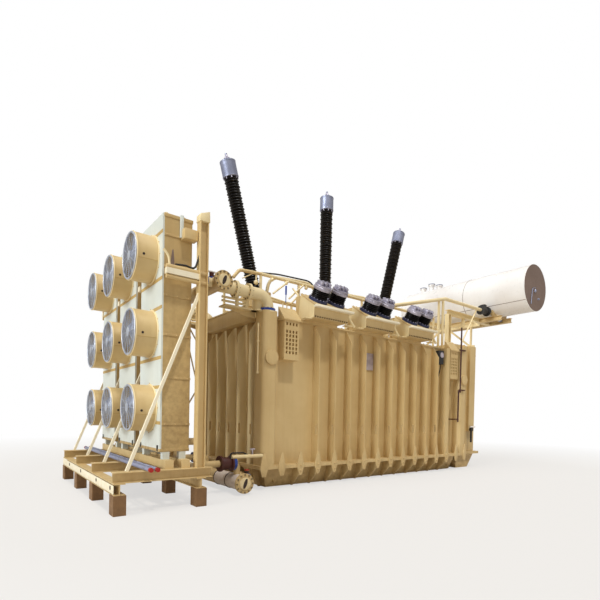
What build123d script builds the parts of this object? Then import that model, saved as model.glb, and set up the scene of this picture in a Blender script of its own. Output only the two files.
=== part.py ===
from build123d import *
import os
from math import atan2, cos, radians, sin, tan

# Power transformer. Millimetres, +Z up, ground at Z = 0, origin under the middle of the tank.
# +X runs along the tank from the cooler bank to the conservator, -Y is the low-voltage front.

# Sections of rolled beams, and the gap where a curved face seats on another
SECTION_THICKNESS = 14.0
SEAT_GAP = 0.3

# Tank
TANK_LENGTH = 8060.0
TANK_WIDTH = 3270.0
FLANGE_Z = 500.0
FLANGE_THICKNESS = 40.0
WALL_SETBACK = 260.0
WALL_THICKNESS = 16.0
WALL_TOP_Z = 3910.0
COVER_THICKNESS = 40.0
COVER_OVERHANG = 35.0
TRAY_WALL = 20.0
TRAY_FLOOR = 30.0
TRAY_TAPER = 16.0

# Stiffening fins, gussets and clamping lugs
FRONT_FIN_FROM_END = 1640.0
END_FIN_FROM_SIDE = 573.0
FRONT_FIN_COUNT = 10
END_FIN_COUNT = 5
FIN_THICKNESS = 24.0
FIN_TOP_Z = 3880.0
FIN_SHOULDER_Z = 3560.0
FIN_TOP_DEPTH = 60.0
FIN_SLOT_Z = 1345.0
FIN_SLOT_HEIGHT = 250.0
FIN_SLOT_WIDTH = 60.0
FIN_SLOT_FROM_EDGE = 75.0
GUSSET_LIP_Z = 330.0
GUSSET_FOOT_IN = 310.0
LUG_THICKNESS = 20.0
LUG_WIDTH = 190.0
LUG_TIP_WIDTH = 50.0
LUG_RISE = 330.0
LUG_DROP = 220.0
LUG_END_RADIUS = 50.0

# Corner oil ducts and louvre boxes
DUCT_INNER_FROM_END = 430.0
DUCT_OUTER_FROM_END = 50.0
DUCT_SIDE_DEPTH = 380.0
DUCT_CORNER_RADIUS = 110.0
DUCT_TOP_Z = 4000.0
DUCT_COVER_RADIUS = 170.0
DUCT_COVER_THICKNESS = 35.0
DUCT_COVER_Z = 2960.0
LOUVRE_NEAR_FROM_END = 580.0
LOUVRE_WIDTH = 420.0
LOUVRE_BOTTOM_Z = 2950.0
LOUVRE_TOP_Z = 3880.0
LOUVRE_COLUMNS = 4
LOUVRE_ROWS = 6
LOUVRE_COLUMN_PITCH = 90.0
LOUVRE_ROW_PITCH = 95.0
LOUVRE_FIRST_ROW_Z = 3120.0
LOUVRE_UPPER_ROW_Z = 3770.0
LOUVRE_HOLE_WIDTH = 50.0
LOUVRE_HOLE_HEIGHT = 66.0
LOUVRE_HOLE_DEPTH = 60.0
LOUVRE_HOOD_LIP = 30.0
LOUVRE_HOOD_RISE = 300.0

# Insulator sheds, as shares of the space from one shed to the next
SHED_START = 0.2
SHED_EDGE = 0.35
SHED_END = 0.85

# Low-voltage turrets and bushings
PHASE_CENTRE_X = -480.0
LV_PITCH = 1720.0
LV_WIDTH = 1100.0
LV_BACK_Y = -1100.0
LV_FRONT_FOOT_Y = -1790.0
LV_FRONT_TOP_Y = -1860.0
LV_RIDGE_Y = -1340.0
LV_FLOOR_Z = 3990.0
LV_LIP_Z = 4260.0
LV_RIDGE_Z = 4590.0
LV_LID_THICKNESS = 25.0
LV_LID_OVERHANG = 30.0
LV_SPACING = 550.0
LV_RING_RADIUS = 240.0
LV_RING_HEIGHT = 55.0
LV_BODY_RADIUS = 175.0
LV_SHED_RADIUS = 212.0
LV_SHED_COUNT = 4
LV_BODY_HEIGHT = 290.0
LV_CAP_RADIUS = 205.0
LV_CAP_HEIGHT = 45.0
LV_BAR_COUNT = 3
LV_BAR_WIDTH = 60.0
LV_BAR_HEIGHT = 75.0

# High-voltage turrets and bushings
HV_PITCH = 2195.0
HV_CENTRE_X = -600.0
HV_Y = 365.0
HV_LEAN = 15.3
HV_TURRET_RADIUS = 370.0
HV_TURRET_HEIGHT = 890.0
HV_FLANGE_RADIUS = 430.0
HV_FLANGE_THICKNESS = 60.0
HV_CORE_RADIUS = 148.0
HV_SHED_RADIUS = 188.0
HV_SHED_COUNT = 14
HV_BODY_LENGTH = 2970.0
HV_SHIELD_RADIUS = 200.0
HV_SHIELD_HEIGHT = 390.0
HV_CONE_HEIGHT = 60.0
HV_CONE_TOP_RADIUS = 60.0
HV_STUD_RADIUS = 30.0
HV_STUD_LENGTH = 130.0

# Conservator
CONSERVATOR_FROM_END = 2440.0
CONSERVATOR_Z = 6300.0
CONSERVATOR_RADIUS = 800.0
CONSERVATOR_WALL = 10.0
CONSERVATOR_LENGTH = 5240.0
CONSERVATOR_END_THICKNESS = 20.0
SADDLE_Y = 1350.0
SADDLE_WIDTH = 1000.0
SADDLE_THICKNESS = 60.0
SADDLE_WRAP = 190.0
CRADLE_BEAM_SPREAD = 350.0
CRADLE_BEAM_SIZE = 160.0
CRADLE_BEAM_LENGTH = 3270.0
CRADLE_DROP = 40.0
CHORD_SIZE = 90.0
CROSS_TRUSS_INSET = 100.0
CROSS_TRUSS_HEIGHT = 830.0
CROSS_TRUSS_OVERHANG = 160.0
GABLE_INSET = 135.0
GABLE_RISE = 200.0
WEB_MIDDLE_Y = 180.0
TRUSS_POST_SIZE = 160.0
TRUSS_POST_INSET = 300.0
WEB_SIZE = 55.0

# End compartment that carries the conservator
END_BOX_REACH = 1330.0
END_BOX_RISE = 250.0
END_BOX_LIP = 130.0
END_BOX_FOOT_REACH = 700.0
END_RIB_THICKNESS = 24.0
END_RIB_DEPTH = 110.0
END_RIB_FROM_WALL = 470.0
END_TRUNK_WIDTH = 340.0
END_TRUNK_DEPTH = 90.0
END_TRUNK_FROM_WALL = 850.0
END_TRUNK_BOTTOM_Z = 1250.0

# Relay pipe
RELAY_PIPE_RADIUS = 55.0
RELAY_PIPE_Y = -1250.0
RELAY_START_X = 300.0
RELAY_START_Z = 4850.0
RELAY_BEND_FROM_END = 820.0
RELAY_END_Z = 5600.0
RELAY_FROM_END = 1530.0
RELAY_LENGTH = 260.0
RELAY_RADIUS = 110.0
RELAY_HEAD_SIZE = 150.0
RELAY_HEAD_RISE = 210.0
PIPE_POST_SIZE = 60.0
PIPE_POSTS_FROM_END = (1150.0, 930.0)
PIPE_PROP_RADIUS = 24.0
PIPE_PROP_FOOT_FROM_END = 120.0
PIPE_PROP_HEAD_FROM_END = 1090.0

# Cooler bank
COOLER_COUNT = 3
FANS_PER_COOLER = 3
COOLER_FRONT_FROM_END = 2378.0
COOLER_DEPTH = 540.0
COOLER_WIDTH = 1169.0
COOLER_PITCH = 1521.0
COOLER_BOTTOM_Z = 990.0
COOLER_TOP_Z = 5190.0
PANEL_THICKNESS = 30.0
FAN_BOTTOM_Z = 1766.0
FAN_PITCH = 1370.0
SHROUD_RADIUS = 425.0
SHROUD_WALL = 8.0
SHROUD_LENGTH = 389.0
GUARD_THICKNESS = 12.0
GUARD_RIM = 40.0
GUARD_SPOKES = 8
GUARD_BAR = 12.0
GUARD_BOSS_RADIUS = 90.0
MOTOR_RADIUS = 110.0
MOTOR_LENGTH = 170.0
MOTOR_GAP = 60.0
ARM_WIDTH = 40.0
SHAFT_RADIUS = 19.0
SHAFT_CLEARANCE = 0.05
HUB_RADIUS = 95.0
HUB_LENGTH = 90.0
HUB_GAP = 12.0
BLADE_COUNT = 6
BLADE_TIP_RADIUS = 392.0
BLADE_CHORD = 150.0
BLADE_THICKNESS = 6.0
BLADE_PITCH_ANGLE = 28.0
BLADE_ROOT_RADIUS = 76.0

# Cooler frame
FRAME_POST_FROM_END = 1707.0
FRAME_POST_SIZE = 160.0
FRAME_LINE_PITCH = 1521.0
FRAME_TOP_Z = 5150.0
BASE_BEAM_SIZE = 180.0
BASE_BEAM_OUTER_FROM_END = 3200.0
BASE_BEAM_INNER_FROM_END = 1480.0
BASE_BEAM_TOP_Z = 700.0
EDGE_BEAM_FROM_END = 3110.0
EDGE_BEAM_LENGTH = 4800.0
EDGE_BEAM_HEIGHT = 190.0
FOOT_LENGTH = 260.0
FOOT_WIDTH = 200.0
BRACE_SIZE = 50.0
BRACE_FOOT_FROM_END = 2980.0
BRACE_HEAD_Z = 4000.0
SIDE_ARM_SIZE = 100.0
SIDE_ARM_Z = 4140.0
COOLER_LEG_SIZE = 120.0
SILL_SIZE = 150.0

# Oil pipes
HEADER_FROM_END = 1050.0
HEADER_Z = 4350.0
HEADER_RADIUS = 145.0
HEADER_LENGTH = 3700.0
FLANGE_RISE = 50.0
PIPE_FLANGE_THICKNESS = 30.0
COOLER_STUB_RADIUS = 90.0
STUB_VALVE_LENGTH = 120.0
UPPER_VALVE_FROM_END = 1410.0
BRANCH_FLANGES_FROM_END = (590.0, 270.0)
ELBOW_RADIUS = 130.0
ELBOW_BEND = 260.0
DUCT_RING_HEIGHT = 60.0
DUCT_RING_RADIUS = 175.0
LOWER_HEADER_FROM_END = 510.0
LOWER_HEADER_Z = 240.0
LOWER_HEADER_RADIUS = 160.0
LOWER_HEADER_LENGTH = 3770.0
LOWER_OUTLET_Z = 1120.0
LOWER_DROP_FROM_END = 1300.0
LOWER_STUB_Z = 640.0
LOWER_STUB_RADIUS = 70.0
LOWER_BEND = 110.0
LOWER_VALVE_FROM_END = 870.0

# Rails, column, boxes and bars
RAIL_START_FROM_END = 470.0
RAIL_END_FROM_END = 730.0
RAIL_BAYS = 6
RAIL_FRONT_Y = -750.0
RAIL_REAR_Y = 1150.0
RAIL_HEIGHT = 1120.0
RAIL_RADIUS = 42.0
RAIL_POST_SIZE = 50.0
CABLE_COLUMN_FROM_END = 1125.0
CABLE_COLUMN_WIDTH = 170.0
INSTRUMENT_FROM_END = 1430.0
INSTRUMENT_WIDTH = 240.0
INSTRUMENT_DEPTH = 230.0
INSTRUMENT_HEIGHT = 420.0
INSTRUMENT_Z = 3590.0
INSTRUMENT_CORNER = 40.0
EARTH_UPPER_FROM_END = 530.0
EARTH_LOWER_FROM_END = 620.0
EARTH_TOP_Z = 4630.0
EARTH_STEP_Z = 2560.0
EARTH_BOTTOM_Z = 1570.0
EARTH_BAR_WIDTH = 70.0
EARTH_BAR_THICKNESS = 12.0
EARTH_STANDOFF = 60.0
TIE_TUBES_FROM_END = (2670.0, 2560.0)
TIE_TUBE_RADIUS = 35.0
TIE_TUBE_LENGTH = 5150.0

# Values worked out from the driving dimensions
half_length = TANK_LENGTH / 2
half_width = TANK_WIDTH / 2
wall_x = half_length - WALL_SETBACK
wall_y = half_width - WALL_SETBACK
flange_top_z = FLANGE_Z + FLANGE_THICKNESS
tray_flange_z = FLANGE_Z - FLANGE_THICKNESS
cover_top_z = WALL_TOP_Z + COVER_THICKNESS
cooler_front_x = -half_length - COOLER_FRONT_FROM_END
cooler_back_x = cooler_front_x + COOLER_DEPTH
shroud_mouth_x = cooler_front_x - SHROUD_LENGTH
cooler_ys = [(i - (COOLER_COUNT - 1) / 2) * COOLER_PITCH for i in range(COOLER_COUNT)]
fan_zs = [FAN_BOTTOM_Z + i * FAN_PITCH for i in range(FANS_PER_COOLER)]
frame_ys = [(i - COOLER_COUNT / 2) * FRAME_LINE_PITCH for i in range(COOLER_COUNT + 1)]
front_pitch = 2 * (half_length - FRONT_FIN_FROM_END) / (FRONT_FIN_COUNT - 1)
end_pitch = 2 * (half_width - END_FIN_FROM_SIDE) / (END_FIN_COUNT - 1)
front_fin_xs = [(i - (FRONT_FIN_COUNT - 1) / 2) * front_pitch for i in range(FRONT_FIN_COUNT)]
end_fin_ys = [(i - (END_FIN_COUNT - 1) / 2) * end_pitch for i in range(END_FIN_COUNT)]
lug_xs = [(i - (FRONT_FIN_COUNT + 1) / 2) * front_pitch for i in range(FRONT_FIN_COUNT + 2)]
lv_xs = [PHASE_CENTRE_X + i * LV_PITCH for i in (-1, 0, 1)]
frame_post_x = -half_length - FRAME_POST_FROM_END
base_beam_left_x = -half_length - BASE_BEAM_OUTER_FROM_END
base_beam_right_x = -half_length - BASE_BEAM_INNER_FROM_END
edge_beam_x = -half_length - EDGE_BEAM_FROM_END
brace_foot_x = -half_length - BRACE_FOOT_FROM_END
header_x = -half_length - HEADER_FROM_END
upper_valve_x = -half_length - UPPER_VALVE_FROM_END
lower_header_x = -half_length - LOWER_HEADER_FROM_END
lower_drop_x = -half_length - LOWER_DROP_FROM_END
lower_valve_x = -half_length - LOWER_VALVE_FROM_END
conservator_x = half_length + CONSERVATOR_FROM_END
relay_x = half_length + RELAY_FROM_END
relay_bend_x = half_length - RELAY_BEND_FROM_END
rail_start_x = RAIL_START_FROM_END - half_length
rail_end_x = half_length - RAIL_END_FROM_END
cable_column_x = half_length - CABLE_COLUMN_FROM_END
instrument_x = half_length - INSTRUMENT_FROM_END
earth_upper_x = half_length - EARTH_UPPER_FROM_END
earth_lower_x = half_length - EARTH_LOWER_FROM_END
branch_flange_xs = [-half_length - distance for distance in BRANCH_FLANGES_FROM_END]
tie_tube_xs = [-half_length - distance for distance in TIE_TUBES_FROM_END]
pipe_post_xs = [half_length - distance for distance in PIPE_POSTS_FROM_END]
duct_pipe_x = (DUCT_INNER_FROM_END + DUCT_OUTER_FROM_END) / 2 - half_length
duct_pipe_y = DUCT_SIDE_DEPTH / 2 - half_width
truss_y = 1.5 * end_pitch
end_box_y = half_width - DUCT_SIDE_DEPTH
end_box_top_z = cover_top_z + END_BOX_RISE
cross_x = wall_x + END_BOX_REACH - CROSS_TRUSS_INSET
cross_top_z = end_box_top_z + CROSS_TRUSS_HEIGHT - CHORD_SIZE / 2

nodes = {}


def block(x0, x1, y0, y1, z0, z1):
    """Rectangular solid between two opposite corners."""
    return Pos((x0 + x1) / 2, (y0 + y1) / 2, (z0 + z1) / 2) * Box(x1 - x0, y1 - y0, z1 - z0)


def front_plate(outline, y_front, thickness):
    """Plate standing in the XZ plane, its outline drawn in X and Z, its front face at y_front."""
    plane = Plane(origin=(0, y_front + thickness, 0), x_dir=(1, 0, 0), z_dir=(0, -1, 0))
    return extrude(plane * outline, thickness, dir=plane.z_dir)


def side_plate(outline, x_low, thickness):
    """Plate standing in the YZ plane, its outline drawn in Y and Z, from x_low towards +X."""
    plane = Plane(origin=(x_low, 0, 0), x_dir=(0, 1, 0), z_dir=(1, 0, 0))
    return extrude(plane * outline, thickness, dir=plane.z_dir)


def round_bar(start, end, radius):
    """Round bar between two points."""
    axis = Vector(*end) - Vector(*start)
    return extrude(Plane(origin=start, z_dir=axis) * Circle(radius), axis.length)


def square_bar(start, end, size, side=(0, 1, 0)):
    """Square bar between two points, two of its faces square to the side direction."""
    axis = Vector(*end) - Vector(*start)
    return extrude(Plane(origin=start, x_dir=side, z_dir=axis) * Rectangle(size, size), axis.length)


def h_section(width, depth):
    """Section of a rolled beam, its two flanges across the local X direction."""
    web = Rectangle(SECTION_THICKNESS, depth)
    flange_y = (depth - SECTION_THICKNESS) / 2
    flanges = Pos(0, flange_y) * Rectangle(width, SECTION_THICKNESS)
    flanges += Pos(0, -flange_y) * Rectangle(width, SECTION_THICKNESS)
    return web + flanges


def h_beam(start, end, width, depth, side):
    """Rolled beam between two points, the side direction along its flanges' width."""
    axis = Vector(*end) - Vector(*start)
    plane = Plane(origin=start, x_dir=side, z_dir=axis)
    return extrude(plane * h_section(width, depth), axis.length)


def turned(profile, origin, direction):
    """Turned solid: a half outline drawn as (radius, height), placed with its axis along direction."""
    face = Plane.XZ * Polygon(*profile, align=None)
    return Plane(origin=origin, z_dir=direction).location * revolve(face, Axis.Z)


def bent_pipe(points, radius, bend):
    """Round pipe along straight runs joined by arcs."""
    path = FilletPolyline(*points, radius=bend)
    start = Vector(*points[0])
    section = Plane(origin=start, z_dir=Vector(*points[1]) - start) * Circle(radius)
    return sweep(section, path=path)


def solids_of(*shapes):
    """All solids of the shapes, in one list."""
    found = []
    for shape in shapes:
        found.extend(shape.solids())
    return found


def make_tray():
    """Tapered bottom tray with its flange and the gussets under every fin."""
    rise = tray_flange_z
    run_in = rise * tan(radians(TRAY_TAPER))
    foot_x = wall_x - run_in
    foot_y = wall_y - run_in
    outer = extrude(Rectangle(2 * foot_x, 2 * foot_y), rise, taper=-TRAY_TAPER)
    inner_foot = Rectangle(2 * (foot_x - TRAY_WALL), 2 * (foot_y - TRAY_WALL))
    hollow = Pos(0, 0, TRAY_FLOOR) * extrude(inner_foot, rise, taper=-TRAY_TAPER)
    tray = outer - hollow
    rim = Rectangle(TANK_LENGTH, TANK_WIDTH) - Rectangle(2 * (wall_x - TRAY_WALL), 2 * (wall_y - TRAY_WALL))
    tray += Pos(0, 0, tray_flange_z) * extrude(rim, FLANGE_THICKNESS)
    bite = TRAY_WALL / 2

    def gusset(edge, wall):
        return Polygon(
            (-edge, rise), (-edge, GUSSET_LIP_Z), (GUSSET_FOOT_IN - edge, 0),
            (run_in + bite - wall, 0), (bite - wall, rise), align=None,
        )

    front = [side_plate(gusset(half_width, wall_y), x - FIN_THICKNESS / 2, FIN_THICKNESS) for x in lug_xs]
    left = [front_plate(gusset(half_length, wall_x), y - FIN_THICKNESS / 2, FIN_THICKNESS) for y in end_fin_ys]
    gussets = front + left
    gussets += [mirror(plate, Plane.XZ) for plate in front]
    gussets += [mirror(plate, Plane.YZ) for plate in left]
    for plate in gussets:
        tray += plate
    return tray


def make_tank():
    """Bell flange, four walls and cover."""
    lap = WALL_SETBACK + FLANGE_THICKNESS
    z0, z1 = FLANGE_Z, flange_top_z
    side_bar = block(-half_length, half_length, -half_width, lap - half_width, z0, z1)
    end_bar = block(-half_length, lap - half_length, lap - half_width, half_width - lap, z0, z1)
    nodes["bell_flange"] = solids_of(side_bar, mirror(side_bar, Plane.XZ), end_bar, mirror(end_bar, Plane.YZ))
    front = block(-wall_x, wall_x, -wall_y, WALL_THICKNESS - wall_y, flange_top_z, WALL_TOP_Z)
    inner_y = wall_y - WALL_THICKNESS
    left = block(-wall_x, WALL_THICKNESS - wall_x, -inner_y, inner_y, flange_top_z, WALL_TOP_Z)
    nodes["front_wall"] = solids_of(front)
    nodes["rear_wall"] = solids_of(mirror(front, Plane.XZ))
    nodes["end_walls"] = solids_of(left, mirror(left, Plane.YZ))
    outline = RectangleRounded(2 * (wall_x + COVER_OVERHANG), 2 * (wall_y + COVER_OVERHANG), COVER_OVERHANG)
    nodes["tank_cover"] = solids_of(Pos(0, 0, WALL_TOP_Z) * extrude(outline, COVER_THICKNESS))


def fin_outline(edge, wall):
    """Outline of one fin from the wall face to the flange edge, with its lifting slot."""
    plate = Polygon(
        (-wall, flange_top_z), (-edge, flange_top_z), (-edge, FIN_SHOULDER_Z),
        (-wall - FIN_TOP_DEPTH, FIN_TOP_Z), (-wall, FIN_TOP_Z), align=None,
    )
    slot = Pos(FIN_SLOT_FROM_EDGE - edge, FIN_SLOT_Z) * SlotOverall(FIN_SLOT_HEIGHT, FIN_SLOT_WIDTH, rotation=90)
    return plate - slot


def make_fins():
    """Flat-bar fins on the long walls and on the left end."""
    outline = fin_outline(half_width, wall_y)
    front = [side_plate(outline, x - FIN_THICKNESS / 2, FIN_THICKNESS) for x in front_fin_xs]
    nodes["front_fins"] = solids_of(*front)
    nodes["rear_fins"] = solids_of(*[mirror(fin, Plane.XZ) for fin in front])
    outline = fin_outline(half_length, wall_x)
    left = [front_plate(outline, y - FIN_THICKNESS / 2, FIN_THICKNESS) for y in end_fin_ys]
    nodes["end_fins"] = solids_of(*left)


def make_lugs():
    """Clamping lugs over the flange joint, one in front of every fin."""
    half = LUG_WIDTH / 2
    tip = LUG_TIP_WIDTH / 2
    low = FLANGE_Z - LUG_DROP
    shoulder = FLANGE_Z - FLANGE_THICKNESS
    outline = Polygon(
        (-half, flange_top_z), (-half, shoulder), (-LUG_END_RADIUS, low + LUG_END_RADIUS),
        (LUG_END_RADIUS, low + LUG_END_RADIUS), (half, shoulder), (half, flange_top_z),
        (tip, FLANGE_Z + LUG_RISE), (-tip, FLANGE_Z + LUG_RISE), align=None,
    )
    outline += Pos(0, low + LUG_END_RADIUS) * Circle(LUG_END_RADIUS)
    front_y = -half_width - LUG_THICKNESS
    front = [front_plate(Pos(x, 0) * outline, front_y, LUG_THICKNESS) for x in lug_xs]
    nodes["flange_lugs"] = solids_of(*front, *[mirror(lug, Plane.XZ) for lug in front])


def make_corner_ducts():
    """Rounded oil ducts up the four corners, each with a round blind cover."""
    x0 = DUCT_OUTER_FROM_END - half_length
    x1 = DUCT_INNER_FROM_END - half_length
    y0 = -half_width
    y1 = DUCT_SIDE_DEPTH - half_width
    column = block(x0, x1, y0, y1, flange_top_z, DUCT_TOP_Z)
    outer_edges = column.edges().filter_by(Axis.Z).group_by(Axis.Y)[0]
    column = fillet(outer_edges, DUCT_CORNER_RADIUS)
    reach = COVER_OVERHANG
    column -= block(-wall_x, 0, -wall_y, 0, flange_top_z, WALL_TOP_Z)
    column -= block(-wall_x - reach, 0, -wall_y - reach, 0, WALL_TOP_Z, cover_top_z)
    centre = ((x0 + x1) / 2, y0, DUCT_COVER_Z)
    cover = round_bar(centre, (centre[0], y0 - DUCT_COVER_THICKNESS, centre[2]), DUCT_COVER_RADIUS)
    duct = column + cover
    ducts = [duct, mirror(duct, Plane.YZ)]
    nodes["corner_ducts"] = solids_of(*ducts, *[mirror(item, Plane.XZ) for item in ducts])


def make_louvre_boxes():
    """Perforated boxes beside the corner ducts, each under a sloping hood."""
    x0 = LOUVRE_NEAR_FROM_END - half_length
    x1 = x0 + LOUVRE_WIDTH
    y0 = -half_width
    edge = wall_y + COVER_OVERHANG
    lip = LOUVRE_HOOD_LIP
    hood = Polygon(
        (-edge, LOUVRE_TOP_Z + LOUVRE_HOOD_RISE), (y0 - lip, LOUVRE_TOP_Z), (y0 - lip, LOUVRE_TOP_Z - lip),
        (-wall_y, LOUVRE_TOP_Z - lip), (-wall_y, WALL_TOP_Z), (-edge, WALL_TOP_Z), align=None,
    )
    box = block(x0, x1, y0, -wall_y, LOUVRE_BOTTOM_Z, LOUVRE_TOP_Z - lip)
    box += side_plate(hood, x0 - lip, LOUVRE_WIDTH + 2 * lip)
    first_x = (x0 + x1) / 2 - (LOUVRE_COLUMNS - 1) / 2 * LOUVRE_COLUMN_PITCH
    rows = [LOUVRE_FIRST_ROW_Z + row * LOUVRE_ROW_PITCH for row in range(LOUVRE_ROWS)] + [LOUVRE_UPPER_ROW_Z]
    holes = Sketch()
    for column in range(LOUVRE_COLUMNS):
        for z in rows:
            place = Pos(first_x + column * LOUVRE_COLUMN_PITCH, z)
            holes += place * Rectangle(LOUVRE_HOLE_WIDTH, LOUVRE_HOLE_HEIGHT)
    box -= front_plate(holes, y0, LOUVRE_HOLE_DEPTH)
    front = [box, mirror(box, Plane.YZ)]
    nodes["louvre_boxes"] = solids_of(*front, *[mirror(item, Plane.XZ) for item in front])


def lv_lid_frame():
    """Middle point of the sloping lid and its outward direction."""
    slope = atan2(LV_RIDGE_Z - LV_LIP_Z, LV_RIDGE_Y - LV_FRONT_TOP_Y)
    out = (0, -sin(slope), cos(slope))
    middle = ((LV_FRONT_TOP_Y + LV_RIDGE_Y) / 2, (LV_LIP_Z + LV_RIDGE_Z) / 2)
    return middle, out, slope


def make_lv_side():
    """Sloping turrets on the front edge of the cover and their short bushings in pairs."""
    cover_edge_y = -wall_y - COVER_OVERHANG
    (mid_y, mid_z), out, slope = lv_lid_frame()
    outline = Polygon(
        (LV_BACK_Y, cover_top_z), (cover_edge_y, cover_top_z), (cover_edge_y, LV_FLOOR_Z),
        (LV_FRONT_FOOT_Y, LV_FLOOR_Z), (LV_FRONT_TOP_Y, LV_LIP_Z), (LV_RIDGE_Y, LV_RIDGE_Z),
        (LV_BACK_Y, LV_RIDGE_Z), align=None,
    )
    lid_depth = (LV_RIDGE_Y - LV_FRONT_TOP_Y) / cos(slope) + 2 * LV_LID_OVERHANG
    turrets, rings, bodies, caps = [], [], [], []
    for x in lv_xs:
        turret = side_plate(outline, x - LV_WIDTH / 2, LV_WIDTH)
        seat = Plane(origin=(x, mid_y, mid_z), x_dir=(1, 0, 0), z_dir=out)
        turret += extrude(seat * Rectangle(LV_WIDTH + 2 * LV_LID_OVERHANG, lid_depth), LV_LID_THICKNESS)
        turrets.append(turret)
        for side in (-1, 1):
            foot = Vector(x + side * LV_SPACING / 2, mid_y, mid_z) + Vector(*out) * LV_LID_THICKNESS
            ring_top = foot + Vector(*out) * LV_RING_HEIGHT
            body_top = ring_top + Vector(*out) * LV_BODY_HEIGHT
            rings.append(turned(
                [(0, 0), (LV_RING_RADIUS, 0), (LV_RING_RADIUS, LV_RING_HEIGHT), (0, LV_RING_HEIGHT)],
                foot, out))
            bodies.append(turned(ribbed_outline(LV_BODY_RADIUS, LV_SHED_RADIUS, LV_BODY_HEIGHT, LV_SHED_COUNT),
                                 ring_top, out))
            plate = Plane(origin=body_top, x_dir=(1, 0, 0), z_dir=out)
            cap = extrude(plate * Circle(LV_CAP_RADIUS), LV_CAP_HEIGHT)
            for place in range(LV_BAR_COUNT):
                offset = (place - (LV_BAR_COUNT - 1) / 2) * 2 * LV_BAR_WIDTH
                bar = Pos(offset, 0) * Rectangle(LV_BAR_WIDTH, LV_CAP_RADIUS)
                cap += extrude(plate * bar, LV_CAP_HEIGHT + LV_BAR_HEIGHT)
            caps.append(cap)
    nodes["lv_turrets"] = solids_of(*turrets)
    nodes["lv_base_rings"] = solids_of(*rings)
    nodes["lv_insulators"] = solids_of(*bodies)
    nodes["lv_terminal_caps"] = solids_of(*caps)


def ribbed_outline(core, rim, height, count):
    """Half outline of an insulator: a core with evenly spaced sloping sheds."""
    pitch = height / count
    points = [(0, 0), (core, 0)]
    for shed in range(count):
        low = shed * pitch
        points.append((core, low + SHED_START * pitch))
        points.append((rim, low + SHED_EDGE * pitch))
        points.append((core, low + SHED_END * pitch))
    points += [(core, height), (0, height)]
    return points


def make_hv_side():
    """Three high-voltage turrets with tall bushings, the outer two leaning outwards."""
    turrets, bodies, caps = [], [], []
    for place in (-1, 0, 1):
        lean = radians(HV_LEAN * place)
        out = Vector(sin(lean), 0, cos(lean))
        foot = Vector(HV_CENTRE_X + place * HV_PITCH, HV_Y, cover_top_z)
        neck = foot + out * HV_TURRET_HEIGHT
        low = foot - out * HV_TURRET_RADIUS
        turret = round_bar(tuple(low), tuple(neck), HV_TURRET_RADIUS)
        reach = 3 * HV_TURRET_RADIUS
        turret -= block(foot.X - reach, foot.X + reach, foot.Y - reach, foot.Y + reach,
                        cover_top_z - reach, cover_top_z)
        seat = neck + out * HV_FLANGE_THICKNESS
        turret += round_bar(tuple(neck), tuple(seat), HV_FLANGE_RADIUS)
        turrets.append(turret)
        bodies.append(turned(ribbed_outline(HV_CORE_RADIUS, HV_SHED_RADIUS, HV_BODY_LENGTH, HV_SHED_COUNT),
                             seat, out))
        head = seat + out * HV_BODY_LENGTH
        top = HV_SHIELD_HEIGHT
        cone_top = top + HV_CONE_HEIGHT
        caps.append(turned(
            [(0, 0), (HV_SHIELD_RADIUS, 0), (HV_SHIELD_RADIUS, top), (HV_CONE_TOP_RADIUS, cone_top),
             (HV_STUD_RADIUS, cone_top), (HV_STUD_RADIUS, cone_top + HV_STUD_LENGTH),
             (0, cone_top + HV_STUD_LENGTH)], head, out))
    nodes["hv_turrets"] = solids_of(*turrets)
    nodes["hv_insulators"] = solids_of(*bodies)
    nodes["hv_shields"] = solids_of(*caps)


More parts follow.
